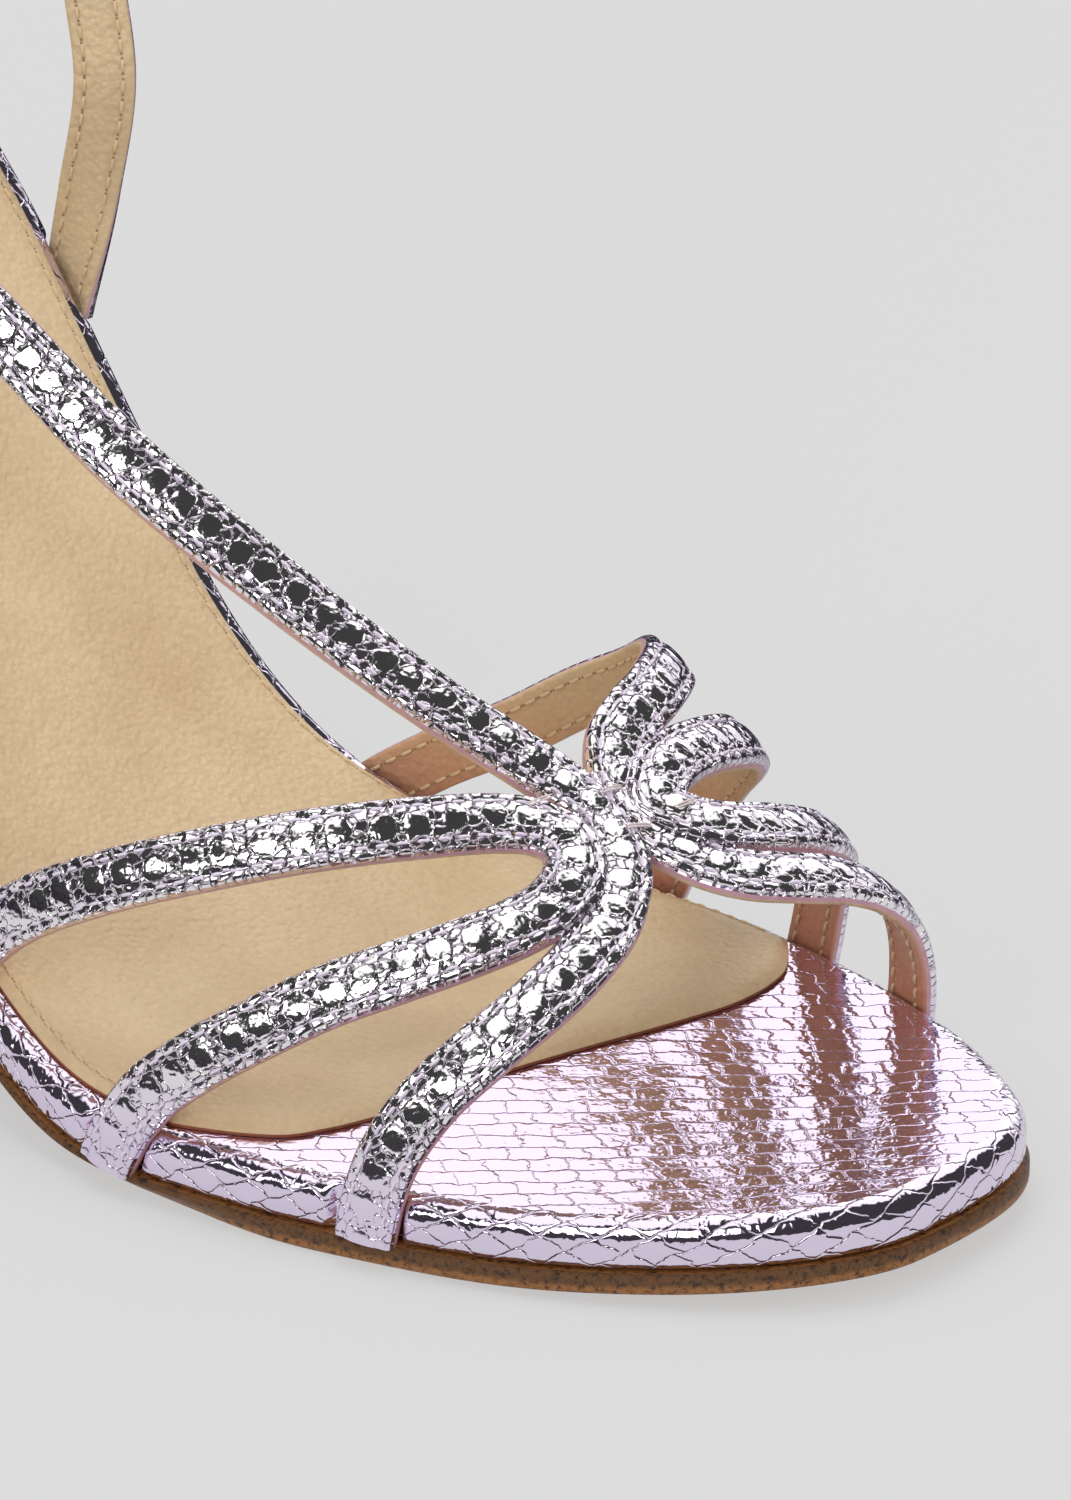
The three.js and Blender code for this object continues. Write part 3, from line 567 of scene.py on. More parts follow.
def skin_point(at, turn):
    """A strap's inner face at one place over the foot."""
    turn = math.radians(turn)
    inset = platform_inset + strap_seat
    lateral = float(half_width(at, -1)) - inset
    medial = float(half_width(at, 1)) - inset
    ridge = float(ridge_by_station(at)) * instep_height + platform_thickness - clearance
    side = -math.cos(turn)
    height = max(0, math.sin(turn)) ** (2 / section_power)
    shift = ridge_shift * min(max((at - shift_start) / shift_span, 0), 1)
    x = (tread_station - at) * sole_length
    return np.array((
        x,
        (medial - lateral) / 2 + shift * height
        + (medial + lateral) / 2 * math.copysign(abs(side) ** (2 / section_power), side),
        float(sole_rise(x)) + outsole_thickness + clearance + ridge * height,
    ))


def skin_face(at, turn):
    step = 0.002
    low = max(0.5, turn - 1)
    high = min(179.5, turn + 1)
    along = skin_point(at - step, turn) - skin_point(at + step, turn)
    around = skin_point(at, high) - skin_point(at, low)
    face = np.cross(along, around)
    return face / np.linalg.norm(face)


def over_foot(row):
    at, turn, lift = row
    return skin_point(at, turn), skin_face(at, turn), lift * strap_thickness


def tucked(at, turn):
    """Below the rim a strap runs straight down to the outsole."""
    point, face, lift = over_foot((at, turn, 0))
    return point - (0, 0, strap_thickness), face, lift


def round_ankle(row):
    at, across, height, facing, lean = row
    facing, lean = math.radians(facing), math.radians(lean)
    face = (-math.sin(facing) * math.cos(lean), -math.cos(facing) * math.cos(lean), math.sin(lean))
    point = ((tread_station - at) * sole_length, across * ball_width, height * heel_rise)
    return np.array(point), np.array(face), 0


class Spline:
    """A centripetal curve through points, with the point's number as its parameter."""

    def __init__(self, points):
        p = np.array(points, float)
        p = np.vstack([2 * p[0] - p[1], p, 2 * p[-1] - p[-2]])
        gaps = np.linalg.norm(np.diff(p, axis=0), axis=1) ** 0.5
        inner = gaps[1:-1]
        inner = np.where(inner < 1e-4, 1, inner)[:, None]
        before = np.where(gaps[:-2, None] < 1e-4, inner, gaps[:-2, None])
        after = np.where(gaps[2:, None] < 1e-4, inner, gaps[2:, None])
        p0, p1, p2, p3 = p[:-3], p[1:-2], p[2:-1], p[3:]
        leave = inner * ((p1 - p0) / before - (p2 - p0) / (before + inner) + (p2 - p1) / inner)
        arrive = inner * ((p2 - p1) / inner - (p3 - p1) / (inner + after) + (p3 - p2) / after)
        self.terms = (
            p1, leave, 3 * (p2 - p1) - 2 * leave - arrive, 2 * (p1 - p2) + leave + arrive)

    def pieces(self, t):
        i = np.clip(np.floor(t).astype(int), 0, len(self.terms[0]) - 1)
        return [term[i] for term in self.terms], (t - i)[:, None]

    def point(self, t):
        (a, b, c, d), w = self.pieces(t)
        return a + w * (b + w * (c + w * d))

    def way(self, t):
        (_, b, c, d), w = self.pieces(t)
        slope = b + w * (2 * c + 3 * w * d)
        return unit(slope)


class Route:
    """A strap's line over the foot: where its inner face lies and which way it looks."""

    def __init__(self, places):
        self.curve = Spline([place[0] for place in places])
        self.faces = Spline([place[1] for place in places])
        self.lifts = Spline([(i, place[2], 0) for i, place in enumerate(places)])
        self.ticks = np.linspace(0, len(places) - 1, 1201)
        chords = np.linalg.norm(np.diff(self.curve.point(self.ticks), axis=0), axis=1)
        self.distances = np.concatenate([[0], np.cumsum(chords)])
        self.length = self.distances[-1]

    def frames(self, distance):
        """Point, along, out and across at each distance."""
        t = np.interp(distance, self.distances, self.ticks)
        along = self.curve.way(t)
        out = self.faces.point(t)
        out = unit(out - along * np.sum(out * along, axis=1)[:, None])
        point = self.curve.point(t) + out * self.lifts.point(t)[:, 1:2]
        return point, along, out, np.cross(along, out)

    def frame(self, distance):
        """Point, along, out and across at one distance."""
        return [part[0] for part in self.frames(np.array([distance]))]

    def foot(self, from_end=False):
        """The distance at which the strap comes to the outsole."""
        distance = np.linspace(0, 12, 241)
        if from_end:
            distance = self.length - distance
        point = self.frames(distance)[0]
        level_over = point[:, 2] - sole_rise(point[:, 0]) - outsole_thickness - clearance / 2
        return distance[np.argmax(level_over > 0)]


outer_lateral = Route(
    [tucked(outer_lateral_rows[0][0], 0)]
    + [over_foot(row) for row in outer_lateral_rows]
    + [round_ankle(row) for row in ankle_rows]
    + [over_foot((ankle_tuck_station, 180, 0)), tucked(ankle_tuck_station, 180)]
)


def foot_to_foot(rows):
    first, last = rows[0], rows[-1]
    return Route([tucked(first[0], first[1])] + [over_foot(row) for row in rows]
                 + [tucked(last[0], last[1])])


inner_lateral = foot_to_foot(inner_lateral_rows)
outer_medial = foot_to_foot(outer_medial_rows)
inner_medial = foot_to_foot(inner_medial_rows)

# Wrapped platform
# A fibre board bent to the arch and wrapped in the lilac leather, which rolls over the rim
# and is pasted under; the straps are lasted between it and the outsole, each in its own seat.
rim_radius = 2.4
seat_play = 0.5
seat_edge = 0.5
height_over_sole = outsole_thickness + platform_thickness

feet = [(route, end) for route in (outer_lateral, inner_lateral, outer_medial, inner_medial)
        for end in (False, True)]
seats = []
for route, end in feet:
    distance = np.linspace(0, 14, 57)
    point = route.frames(route.length - distance if end else distance)[0]
    height = point[:, 2] - sole_rise(point[:, 0])
    order = np.argsort(height)
    seats.append((np.sign(point[0, 1]), height[order], point[order, 0]))


def seated(inset, height):
    """The inset of the side at a height, deeper where a strap sits against it."""
    seat_depth = platform_inset + strap_seat + clearance

    def depth(x, side):
        deep = np.full(len(x), float(inset))
        for seat_side, heights, places in seats:
            middle = np.interp(height, heights, places)
            near = strap_width / 2 + seat_play + seat_edge - np.abs(x - middle)
            share = np.clip(near / seat_edge, 0, 1) * (side == seat_side)
            share = share * share * (3 - 2 * share)
            deep = np.maximum(deep, inset + (max(inset, seat_depth) - inset) * share)
        return deep
    return depth


# Foil leather: chrome-tanned leather with a mirror-bright lilac film, embossed with snake
# scales. The film is a metal to the eye, sharp in its reflections and broken by each scale.
foil_color = linear("#eadef5")
toe_foil_color = linear("#ead9f8")
groove_color = linear("#dfcbe2")
row_way = (right.x, right.y)
toe_scale_length = 4.1
toe_scale_row = 2.75
rim_scale = 3.3


def scale_rows(tree, along, across, length, row, tilt, slant=0.15, uneven=0.3):
    """Overlapping oblong scales in staggered rows: their height and groove share."""
    wobble_place = add(tree, "CombineXYZ", {0: along, 1: across})
    wobble = add(tree, "TexNoise", {"Vector": wobble_place, "Scale": 0.42, "Detail": 2.0})
    split = add(tree, "SeparateColor", {0: wobble.outputs["Color"]})
    wave_u = remap(tree, split.outputs[0], start=-uneven * length, end=uneven * length)
    wave_v = remap(tree, split.outputs[1], start=-uneven * row, end=uneven * row)
    v = calc(tree, "DIVIDE", calc(tree, "ADD", across, wave_v), row)
    row_number = calc(tree, "FLOOR", v)
    b = calc(tree, "FRACT", v)
    u = calc(tree, "DIVIDE", calc(tree, "ADD", along, wave_u), length)
    row_lot = add(tree, "TexWhiteNoise", {"W": row_number}, noise_dimensions="1D")
    stagger = calc(tree, "ADD", row_lot, u)
    leaning = calc(tree, "MULTIPLY_ADD", b, slant, stagger)
    number = calc(tree, "FLOOR", leaning)
    a = calc(tree, "FRACT", leaning)
    chance = add(tree, "TexWhiteNoise", {
        "Vector": add(tree, "CombineXYZ", {0: number, 1: row_number})},
        noise_dimensions="2D")
    chances = add(tree, "SeparateColor", {0: chance.outputs["Color"]})
    pillows = []
    for part in (a, b):
        centred = calc(tree, "MULTIPLY_ADD", part, 2.0, -1.0)
        edge = calc(tree, "ABSOLUTE", centred)
        steep = calc(tree, "POWER", edge, 16.0)
        pillows.append(calc(tree, "SUBTRACT", 1.0, steep))
    plate = calc(tree, "MULTIPLY", pillows[0], pillows[1])
    tilts = []
    for part, lot in ((a, chances.outputs[0]), (b, chances.outputs[1])):
        off = calc(tree, "SUBTRACT", part, 0.5)
        way = calc(tree, "SUBTRACT", lot, 0.5)
        tilts.append(calc(tree, "MULTIPLY", off, way))
    lean = calc(tree, "ADD", tilts[0], tilts[1])
    lap = calc(tree, "MULTIPLY_ADD", b, 0.4, plate)
    height = calc(tree, "MULTIPLY_ADD", lean, tilt, lap)
    groove = remap(tree, plate, 0.0, 0.4, 1.0, 0.0)
    return height, groove


def foil_finish(tree, surface, height, groove, depth, film=foil_color, roughness=0.08):
    """The film's colour, gloss and relief over a pattern's height."""
    color = blend(tree, groove, film, groove_color)
    gloss = remap(tree, groove, start=roughness, end=roughness + 0.1)
    feed(tree, surface, {"Base Color": color, "Roughness": gloss, "Metallic": 1.0})
    emboss(tree, surface, height, depth)


foil_toe, tree, surface = new_material("lilac_foil_toe_scales")
place = add(tree, "TexCoord")
in_rows = calc_vector(tree, "DOT_PRODUCT", place.outputs["Object"], (row_way[0], row_way[1], 0))
over_rows = calc_vector(tree, "DOT_PRODUCT", place.outputs["Object"], (-row_way[1], row_way[0], 0))
row_u = calc(tree, "MULTIPLY", in_rows.outputs["Value"], 1 / MM)
row_v = calc(tree, "MULTIPLY", over_rows.outputs["Value"], 1 / MM)
height, groove = scale_rows(tree, row_u, row_v, toe_scale_length, toe_scale_row, 2.7)
toe_place = add(tree, "CombineXYZ", {0: row_u, 1: row_v})
ripple = add(tree, "TexNoise", {"Vector": toe_place, "Scale": 0.7, "Detail": 2.0})
height = calc(tree, "MULTIPLY_ADD", ripple, 1.4, height)
foil_finish(tree, surface, height, groove, 0.065, toe_foil_color)

foil_rim, tree, surface = new_material("lilac_foil_rim_scales")
rim_flow = add(tree, "Attribute", attribute_name="flow")
rim_parts = add(tree, "SeparateXYZ", {0: rim_flow.outputs["Vector"]})
up_left = calc(tree, "MULTIPLY_ADD", rim_parts.outputs[0], 0.62, rim_parts.outputs[1])
up_right = calc(tree, "MULTIPLY_ADD", rim_parts.outputs[0], -0.62, rim_parts.outputs[1])
height, groove = scale_rows(tree, up_left, up_right, rim_scale, rim_scale, 3.2, 0, 0.26)
pleat_place = calc_vector(tree, "MULTIPLY", rim_flow.outputs["Vector"], (0.75, 0.5, 1))
pleats = add(tree, "TexNoise", {"Vector": pleat_place, "Scale": 0.8, "Detail": 1.5,
                                "Distortion": 0.8})
height = calc(tree, "MULTIPLY_ADD", pleats, 2.2, height)
foil_finish(tree, surface, height, groove, 0.1)

roll = np.linspace(0, 90, 10)
base = outsole_thickness + clearance
wrap_profile = ((0.7, 0), (0.25, 0.3), (0, 0.9))     # inset and height of the turned-in edge
steps = [(platform_inset + inset, base + rise) for inset, rise in wrap_profile]
steps += [(platform_inset + rim_radius * (1 - math.cos(math.radians(turn))),
           height_over_sole - rim_radius * (1 - math.sin(math.radians(turn)))) for turn in roll]
shell = Shell()
sole_layer(shell, stations(1), [(seated(inset, h), h) for inset, h in steps], 1, 0, 0, across=40)
platform = shell.make("wrapped_platform", [foil_toe, foil_rim], sharp_angle=70)
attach(platform, "root")
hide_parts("platform")

# Sock
# Tan kid leather, one cut from the ball to the heel, glued to the platform and stitched
# round its sides; its cut edge is dyed dark, and its front is only glued.
sock_thickness = 1
sock_inset = 3
sock_crown = 0.12
sock_front_across = (-0.5, -0.444, -0.414, -0.362, -0.29, -0.09, 0.06, 0.17, 0.285, 0.345,
                     0.385, 0.415, 0.45, 0.5)
sock_front_at = (0.33, 0.291, 0.277, 0.267, 0.2595, 0.252, 0.241, 0.232, 0.226, 0.229,
                 0.235, 0.244, 0.258, 0.285)
stitch_inset = 1.35
stitch_length = 1.5
stitch_pitch = 2.0
first_stitch = 0.8
sock_thread_radius = 0.17
thread_rings = 7
thread_sides = 6
hole_place = 0.54                 # shares of a stitch's length
hole_share = 0.8                  # and of its radius
hole_lift = 0.04


def kid_leather(name):
    """Kid leather: matt tan with a fine even grain, as dyed through and lightly waxed."""
    material, tree, surface = new_material(name)
    place = add(tree, "TexCoord")
    grain = add(tree, "TexVoronoi", {"Vector": place.outputs["Object"], "Scale": 1500.0,
                                     "Randomness": 1.0}, feature="SMOOTH_F1")
    creases = add(tree, "TexNoise", {"Vector": place.outputs["Object"], "Scale": 1200.0,
                                     "Detail": 3.0, "Distortion": 0.4})
    clouds = add(tree, "TexNoise", {"Vector": place.outputs["Object"], "Scale": 60.0,
                                    "Detail": 3.0})
    dyed = ramp(tree, clouds, 0.3, "#bfa480", 0.7, "#ccb591")
    skin_height = calc(tree, "ADD", grain.outputs["Distance"], creases)
    dented = calc(tree, "MULTIPLY_ADD", clouds, 2.5, skin_height)
    worn = remap(tree, skin_height, 0.55, 1.2, 1.03, 0.93)
    grained = blend(tree, 1.0, dyed, worn, blend_type="MULTIPLY")
    feed(tree, surface, {"Base Color": grained, "Roughness": 0.46, "Specular IOR Level": 0.5})
    emboss(tree, surface, dented, 0.15)
    return material, tree, surface, grained


tan = kid_leather("tan_kid_leather")[0]

# Dyed cut edge: dark brown, matt
dyed_edge = mottled("dark_dyed_edge", "#6a3220", "#94543a", 0.6, 900.0)[0]

# Needle holes: the shade of the pierced leather, matt and dark
needle_hole_shade = mottled("pierced_leather_shade", "#876a4d", "#a3855f", 0.9, 2000.0)[0]


def sewing_thread(name, dark, light, roughness):
    """Polyester sewing thread, two strands twisted: satin, with a fine diagonal ply."""
    material, tree, surface = new_material(name)
    place = add(tree, "Attribute", attribute_name="flow")
    ply = add(tree, "TexWave", {"Vector": place.outputs["Vector"], "Scale": 0.9},
              wave_type="BANDS", bands_direction="DIAGONAL")
    tone = blend(tree, ply, linear(dark), linear(light))
    feed(tree, surface, {"Base Color": tone, "Roughness": roughness})
    return material, tree, surface, ply


# Tan thread of the sock and the linings, with its twist raised a little
tan_thread, tree, surface, ply = sewing_thread("tan_sewing_thread", "#b3906a", "#e6cfa8", 0.45)
emboss(tree, surface, ply, 0.05, 0.4)

front_by_across = smooth_column(sock_front_across, sock_front_at)
side_ring = outline_ring(stations(1), sock_inset, 0)[:, :2]
front_x = (tread_station - front_by_across(side_ring[:, 1] / ball_width)) * sole_length
behind = side_ring[:, 0] < front_x
outer_end = np.argmax(~behind)
inner_start = len(behind) - np.argmax(~behind[::-1])
outer_side = side_ring[:outer_end]
inner_side = side_ring[inner_start:]
front_y = np.linspace(outer_side[-1, 1], inner_side[0, 1], 120)[1:-1]
front_edge = np.column_stack([
    (tread_station - front_by_across(front_y / ball_width)) * sole_length, front_y])
sock_outline = np.vstack([outer_side, front_edge, inner_side[:-1]])


def inward(outline, distance):
    """A closed outline moved inward, for a ring that runs from the outer side to the toe."""
    way = np.roll(outline, -1, axis=0) - np.roll(outline, 1, axis=0)
    way = unit(way)
    return outline + np.column_stack([-way[:, 1], way[:, 0]]) * distance


base = height_over_sole + clearance
sock_steps = [(0, -0.25, 1), (0, 0.1, 1), (0.15, 0.22, 0),
              (0.4, 0.38, 0), (0.95, sock_thickness - 0.2, 0),
              (stitch_inset, sock_thickness - 0.12, 0), (1.8, sock_thickness + 0.05, 0),
              (2.6, sock_thickness + sock_crown, 0)]
rings = []
for inset, lift, finish in sock_steps:
    plan = inward(sock_outline, inset)
    rings.append(np.column_stack([plan, sole_rise(plan[:, 0]) + base + lift]))
shell = Shell()
faces = grid_faces(len(rings), len(sock_outline), closed=True)
finishes = np.repeat([step[2] for step in sock_steps[1:]], len(sock_outline))
shell.add(np.array(rings), faces, finishes)
inner = rings[-1][:, :2]
grid_step = 3.0
xs = np.arange(inner[:, 0].min(), inner[:, 0].max(), grid_step)
ys = np.arange(inner[:, 1].min(), inner[:, 1].max(), grid_step)
candidates = np.array([(x, y) for x in xs for y in ys])
edge_a = inner
edge_b = np.roll(inner, -1, axis=0)
crossing = ((edge_a[None, :, 1] > candidates[:, None, 1])
            != (edge_b[None, :, 1] > candidates[:, None, 1]))
reach_x = edge_a[None, :, 0] + (candidates[:, None, 1] - edge_a[None, :, 1]) * (
    edge_b - edge_a)[None, :, 0] / np.where(
        np.abs((edge_b - edge_a)[None, :, 1]) < 1e-9, 1e-9, (edge_b - edge_a)[None, :, 1])
inside = np.sum(crossing & (candidates[:, None, 0] < reach_x), axis=1) % 2 == 1
gap = np.min(np.linalg.norm(candidates[:, None] - inner[None], axis=2), axis=1)
middle_points = candidates[inside & (gap > 1.0)]
count = len(inner)
flat = [Vector(p) for p in np.vstack([inner, middle_points])]
verts, _, triangles, *_ = delaunay_2d_cdt(
    flat, [(i, (i + 1) % count) for i in range(count)], [], 1, 1e-6)
cap = np.array([(v.x, v.y, 0) for v in verts])
cap[:, 2] = sole_rise(cap[:, 0]) + base + sock_thickness + sock_crown
areas = [(cap[b, 0] - cap[a, 0]) * (cap[c, 1] - cap[a, 1])
         - (cap[b, 1] - cap[a, 1]) * (cap[c, 0] - cap[a, 0]) for a, b, c in triangles]
triangles = [t if area > 0 else t[::-1] for t, area in zip(triangles, areas)]
shell.add(cap, triangles, 0)
sock = shell.make("tan_sock", [tan, dyed_edge], sharp_angle=60)
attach(sock, "root")
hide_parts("sock")


def thread_stitch(shell, point, along, out, across, length, radius, finish=0, hole_finish=1):
    """A short stitch of thread that rises over the leather between two needle holes."""
    ends = np.linspace(-0.5, 0.5, thread_rings)
    turns = full_turn(thread_sides)
    arch = np.sqrt(np.maximum(0, 1 - (2 * ends) ** 2)) * radius * 1.5 - radius * 0.8
    girth = radius * (1 - 0.35 * (2 * ends) ** 4)
    centre = (point + ends[:, None] * length * along + arch[:, None] * out)[:, None]
    ring = (np.cos(turns)[None, :, None] * across + np.sin(turns)[None, :, None] * out)
    points = centre + ring * girth[:, None, None]
    flows = np.zeros(points.shape)
    flows[..., 0] = ends[:, None] * length * 6
    flows[..., 1] = turns[None]
    shell.add(points, grid_faces(thread_rings, thread_sides, closed=True), finish, flows)
    ring_face = list(range(thread_sides))
    last_face = [(thread_rings - 1) * thread_sides + i for i in ring_face]
    shell.add(points, [ring_face[::-1], last_face], finish, flows)
    hole_face = ring_face if np.cross(across, along) @ out > 0 else ring_face[::-1]
    # Each needle hole is a disc in the painted shade of a hole, just over the leather
    hole_turns = turns[:, None]
    for end in (-hole_place, hole_place):
        rim = (np.cos(hole_turns) * across + np.sin(hole_turns) * along) * radius * hole_share
        hole = point + end * length * along + rim + hole_lift * out
        shell.add(hole, [hole_face], hole_finish)


def stitch_row(shell, line, out, radius):
    """Stitches along a polyline that lies on the leather, with the way that it faces."""
    steps = np.linalg.norm(np.diff(line, axis=0), axis=1)
    run = np.concatenate([[0], np.cumsum(steps)])
    for middle in np.arange(first_stitch, run[-1] - stitch_length / 2, stitch_pitch):
        here = np.array([np.interp(middle, run, line[:, i]) for i in range(3)])
        ahead = np.array([np.interp(middle + 0.4, run, line[:, i]) for i in range(3)])
        along = (ahead - here) / np.linalg.norm(ahead - here)
        face = np.array([np.interp(middle, run, out[:, i]) for i in range(3)])
        face -= along * (face @ along)
        face /= np.linalg.norm(face)
        thread_stitch(shell, here, along, face, np.cross(along, face), stitch_length, radius)


shell = Shell()
stitched = rings[5]
back_skip = 8                     # points of the outline that aren't stitched
front_skip = 4
for part in (stitched[back_skip:outer_end - front_skip],
             stitched[outer_end + len(front_edge) + front_skip:-back_skip]):
    facing = np.tile((0.0, 0.0, 1.0), (len(part), 1))
    slope = np.gradient(sole_rise(part[:, 0]), part[:, 0] + np.arange(len(part)) * 1e-9)
    facing[:, 0] = -slope
    stitch_row(shell, part, facing, sock_thread_radius)
sock_stitching = shell.make("sock_stitching", [tan_thread, needle_hole_shade])
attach(sock_stitching, "root")

# Vamp straps
# Each strap is foil leather folded over a padding tape, cemented to a tan lining and sewn
# with a row at either side; the cut edges are painted pink. The long outer strap, the two
# inner loops and the far outer strap are joined where they meet at the middle.
scale_pitch = 3.7
scale_half_length = 1.35
scale_half_width = 1.5
scale_sway = (0.3, 0.25)          # along and across
scale_sway_turns = (2.4, 5.1)     # from one scale to the next
scale_roundness = 2.6
scale_height = 0.14
strap_padding = 0.3
padding_half_width = 2.9
stitch_row_place = 2.05
furrow_depth = 0.2
furrow_half_width = 0.28
foil_thread_radius = 0.17
lining_thread_radius = 0.2
foot_top = 6                      # the foil is drawn smooth up to here
drawn_top = 15                    # and has its full relief from here
# Heights in millimetres over which the linings' painted pink bounce light and shade fade out
foil_bounce_low = 9
foil_bounce_high = 30
lining_height = 0.55
paint_height = 1.05


def strap_relief(u, v):
    """Height of the leather over the strap's plain face: padding, sewn furrows and scales."""
    pad = strap_padding * np.clip(1 - (v / padding_half_width) ** 2, 0, 1)
    furrow = furrow_depth * np.exp(-((np.abs(v) - stitch_row_place) / furrow_half_width) ** 2)
    furrow *= 0.7 - 0.3 * np.cos(2 * math.pi * u / stitch_pitch)
    number = np.floor(u / scale_pitch)
    a = u - (number + 0.5) * scale_pitch - scale_sway[0] * np.sin(scale_sway_turns[0] * number)
    b = v - scale_sway[1] * np.sin(scale_sway_turns[1] * number)
    spread = (np.abs(a / scale_half_length) ** scale_roundness
              + np.abs(b / scale_half_width) ** scale_roundness)
    return pad - furrow + scale_height * np.clip(1 - spread, 0, 1) ** 0.5


foil_strap, tree, surface = new_material("lilac_foil_strap_scales")
strap_flow = add(tree, "Attribute", attribute_name="flow")
wobble = add(tree, "TexNoise", {"Vector": strap_flow.outputs["Vector"], "Scale": 0.9,
                                "Detail": 2.0})
wobble_off = calc_vector(tree, "SUBTRACT", wobble.outputs["Color"], (0.5, 0.5, 0.5))
warped = calc_vector(tree, "MULTIPLY_ADD", wobble_off, (0.9, 0.9, 0), strap_flow.outputs["Vector"])
parts = add(tree, "SeparateXYZ", {0: warped})
number = calc(tree, "FLOOR", calc(tree, "DIVIDE", parts.outputs[0], scale_pitch))
centre = calc(tree, "ADD", number, 0.5)
from_centre = calc(tree, "MULTIPLY_ADD", centre, -scale_pitch, parts.outputs[0])
sway_u, sway_v = [calc(tree, "SINE", calc(tree, "MULTIPLY", number, turns))
                  for turns in scale_sway_turns]
a = calc(tree, "MULTIPLY_ADD", sway_u, -scale_sway[0], from_centre)
b = calc(tree, "MULTIPLY_ADD", sway_v, -scale_sway[1], parts.outputs[1])
shares = []
for part, half in ((a, scale_half_length), (b, scale_half_width)):
    size = calc(tree, "DIVIDE", calc(tree, "ABSOLUTE", part), half)
    shares.append(calc(tree, "POWER", size, scale_roundness))
spread = calc(tree, "ADD", shares[0], shares[1])
big_scale = remap(tree, spread, 1.05, 0.75, 0.0, 1.0)
pebble_place = calc_vector(tree, "MULTIPLY", warped, (0.85, 1.15, 1))
pebble_edge = add(tree, "TexVoronoi", {"Vector": pebble_place, "Scale": 0.92, "Randomness": 0.95},
                  feature="DISTANCE_TO_EDGE", voronoi_dimensions="2D")
pebble = add(tree, "TexVoronoi", {"Vector": pebble_place, "Scale": 0.92, "Randomness": 0.95},
             feature="F1", voronoi_dimensions="2D")
pebble_rise = add(tree, "MapRange", {0: pebble_edge.outputs["Distance"], 1: 0.0, 2: 0.14},
                  interpolation_type="SMOOTHSTEP")
pebble_round = calc(tree, "POWER", pebble.outputs["Distance"], 2.0)
pebble_top = calc(tree, "MULTIPLY_ADD", pebble_round, -0.8, pebble_rise)
pebble_off = calc_vector(tree, "SUBTRACT", pebble_place, pebble.outputs["Position"])
pebble_lot = calc_vector(tree, "SUBTRACT", pebble.outputs["Color"], (0.5, 0.5, 0.5))
pebble_tilt = calc_vector(tree, "DOT_PRODUCT", pebble_off, pebble_lot)
pebble_height = calc(tree, "MULTIPLY_ADD", pebble_tilt.outputs["Value"], 0.8, pebble_top)
crumple = add(tree, "TexNoise", {"Vector": strap_flow.outputs["Vector"], "Scale": 1.2,
                                 "Detail": 1.0, "Roughness": 0.4})
scale_lot = add(tree, "TexWhiteNoise", {"W": number}, noise_dimensions="1D")
scale_lots = add(tree, "SeparateColor", {0: scale_lot.outputs["Color"]})
lean_u = calc(tree, "SUBTRACT", scale_lots.outputs[0], 0.5)
lean_v = calc(tree, "SUBTRACT", scale_lots.outputs[1], 0.5)
lean = calc(tree, "MULTIPLY", a, lean_u)
lean = calc(tree, "MULTIPLY_ADD", b, lean_v, lean)
scale_top = calc(tree, "MULTIPLY_ADD", crumple, 0.3, 1.0)
scale_top = calc(tree, "MULTIPLY_ADD", lean, 0.8, scale_top)
leather = add(tree, "Mix", {0: big_scale, 2: pebble_height, 3: scale_top}, data_type="FLOAT")
wrinkled = calc(tree, "MULTIPLY_ADD", crumple, 0.2, leather)
foot_place = add(tree, "TexCoord")
foot_parts = add(tree, "SeparateXYZ", {0: foot_place.outputs["Object"]})
drawn = remap(tree, foot_parts.outputs[2], foot_top * MM, drawn_top * MM, 0.3, 1.0)
lasted = calc(tree, "MULTIPLY", wrinkled, drawn)
cut = remap(tree, pebble_edge.outputs["Distance"], 0.0, 0.05, 1.0, 0.0)
clear = calc(tree, "SUBTRACT", 1.0, big_scale)
strap_groove = calc(tree, "MULTIPLY", cut, clear)
# Painted sheen: the film is made near white where the strap faces the viewer, and stays lilac at a
# slant and near the foot, so its reflections are whiter where it faces the viewer
facing = add(tree, "LayerWeight", {"Blend": 0.5})
slant = remap(tree, facing.outputs["Facing"], 0.4, 0.9)
at_foot = remap(tree, foot_parts.outputs[2], foot_top * MM, drawn_top * MM, 1.0, 0.0)
sheen_free_share = calc(tree, "MAXIMUM", slant, at_foot)
sheened_strap_film = blend(tree, sheen_free_share, linear("#f6f2f6"), foil_color)
foil_finish(tree, surface, lasted, strap_groove, 0.17, sheened_strap_film, 0.1)

# Edge paint: pink acrylic over the cut leather, satin and slightly lumpy
edge_paint, tree, surface, lumps = mottled(
    "pink_edge_paint", "#a97a86", "#cfa3ae", 0.42, 700.0)
emboss(tree, surface, lumps, 0.1, 0.4)

# Lilac thread on the foil side: bonded polyester, satin
lilac_thread = sewing_thread("lilac_sewing_thread", "#b8a8bd", "#efe6f2", 0.4)[0]

# Rose thread of the hand-sewn tacks, waxed
rose_thread = sewing_thread("rose_tack_thread", "#a8989a", "#dccfd0", 0.5)[0]

# The same kid leather as a lining, tinted pink and darker toward the foot: painted light thrown
# back by the pink foil, and painted shade
lining, tree, surface, grained = kid_leather("tan_kid_lining")
place = add(tree, "TexCoord")
lining_parts = add(tree, "SeparateXYZ", {0: place.outputs["Object"]})
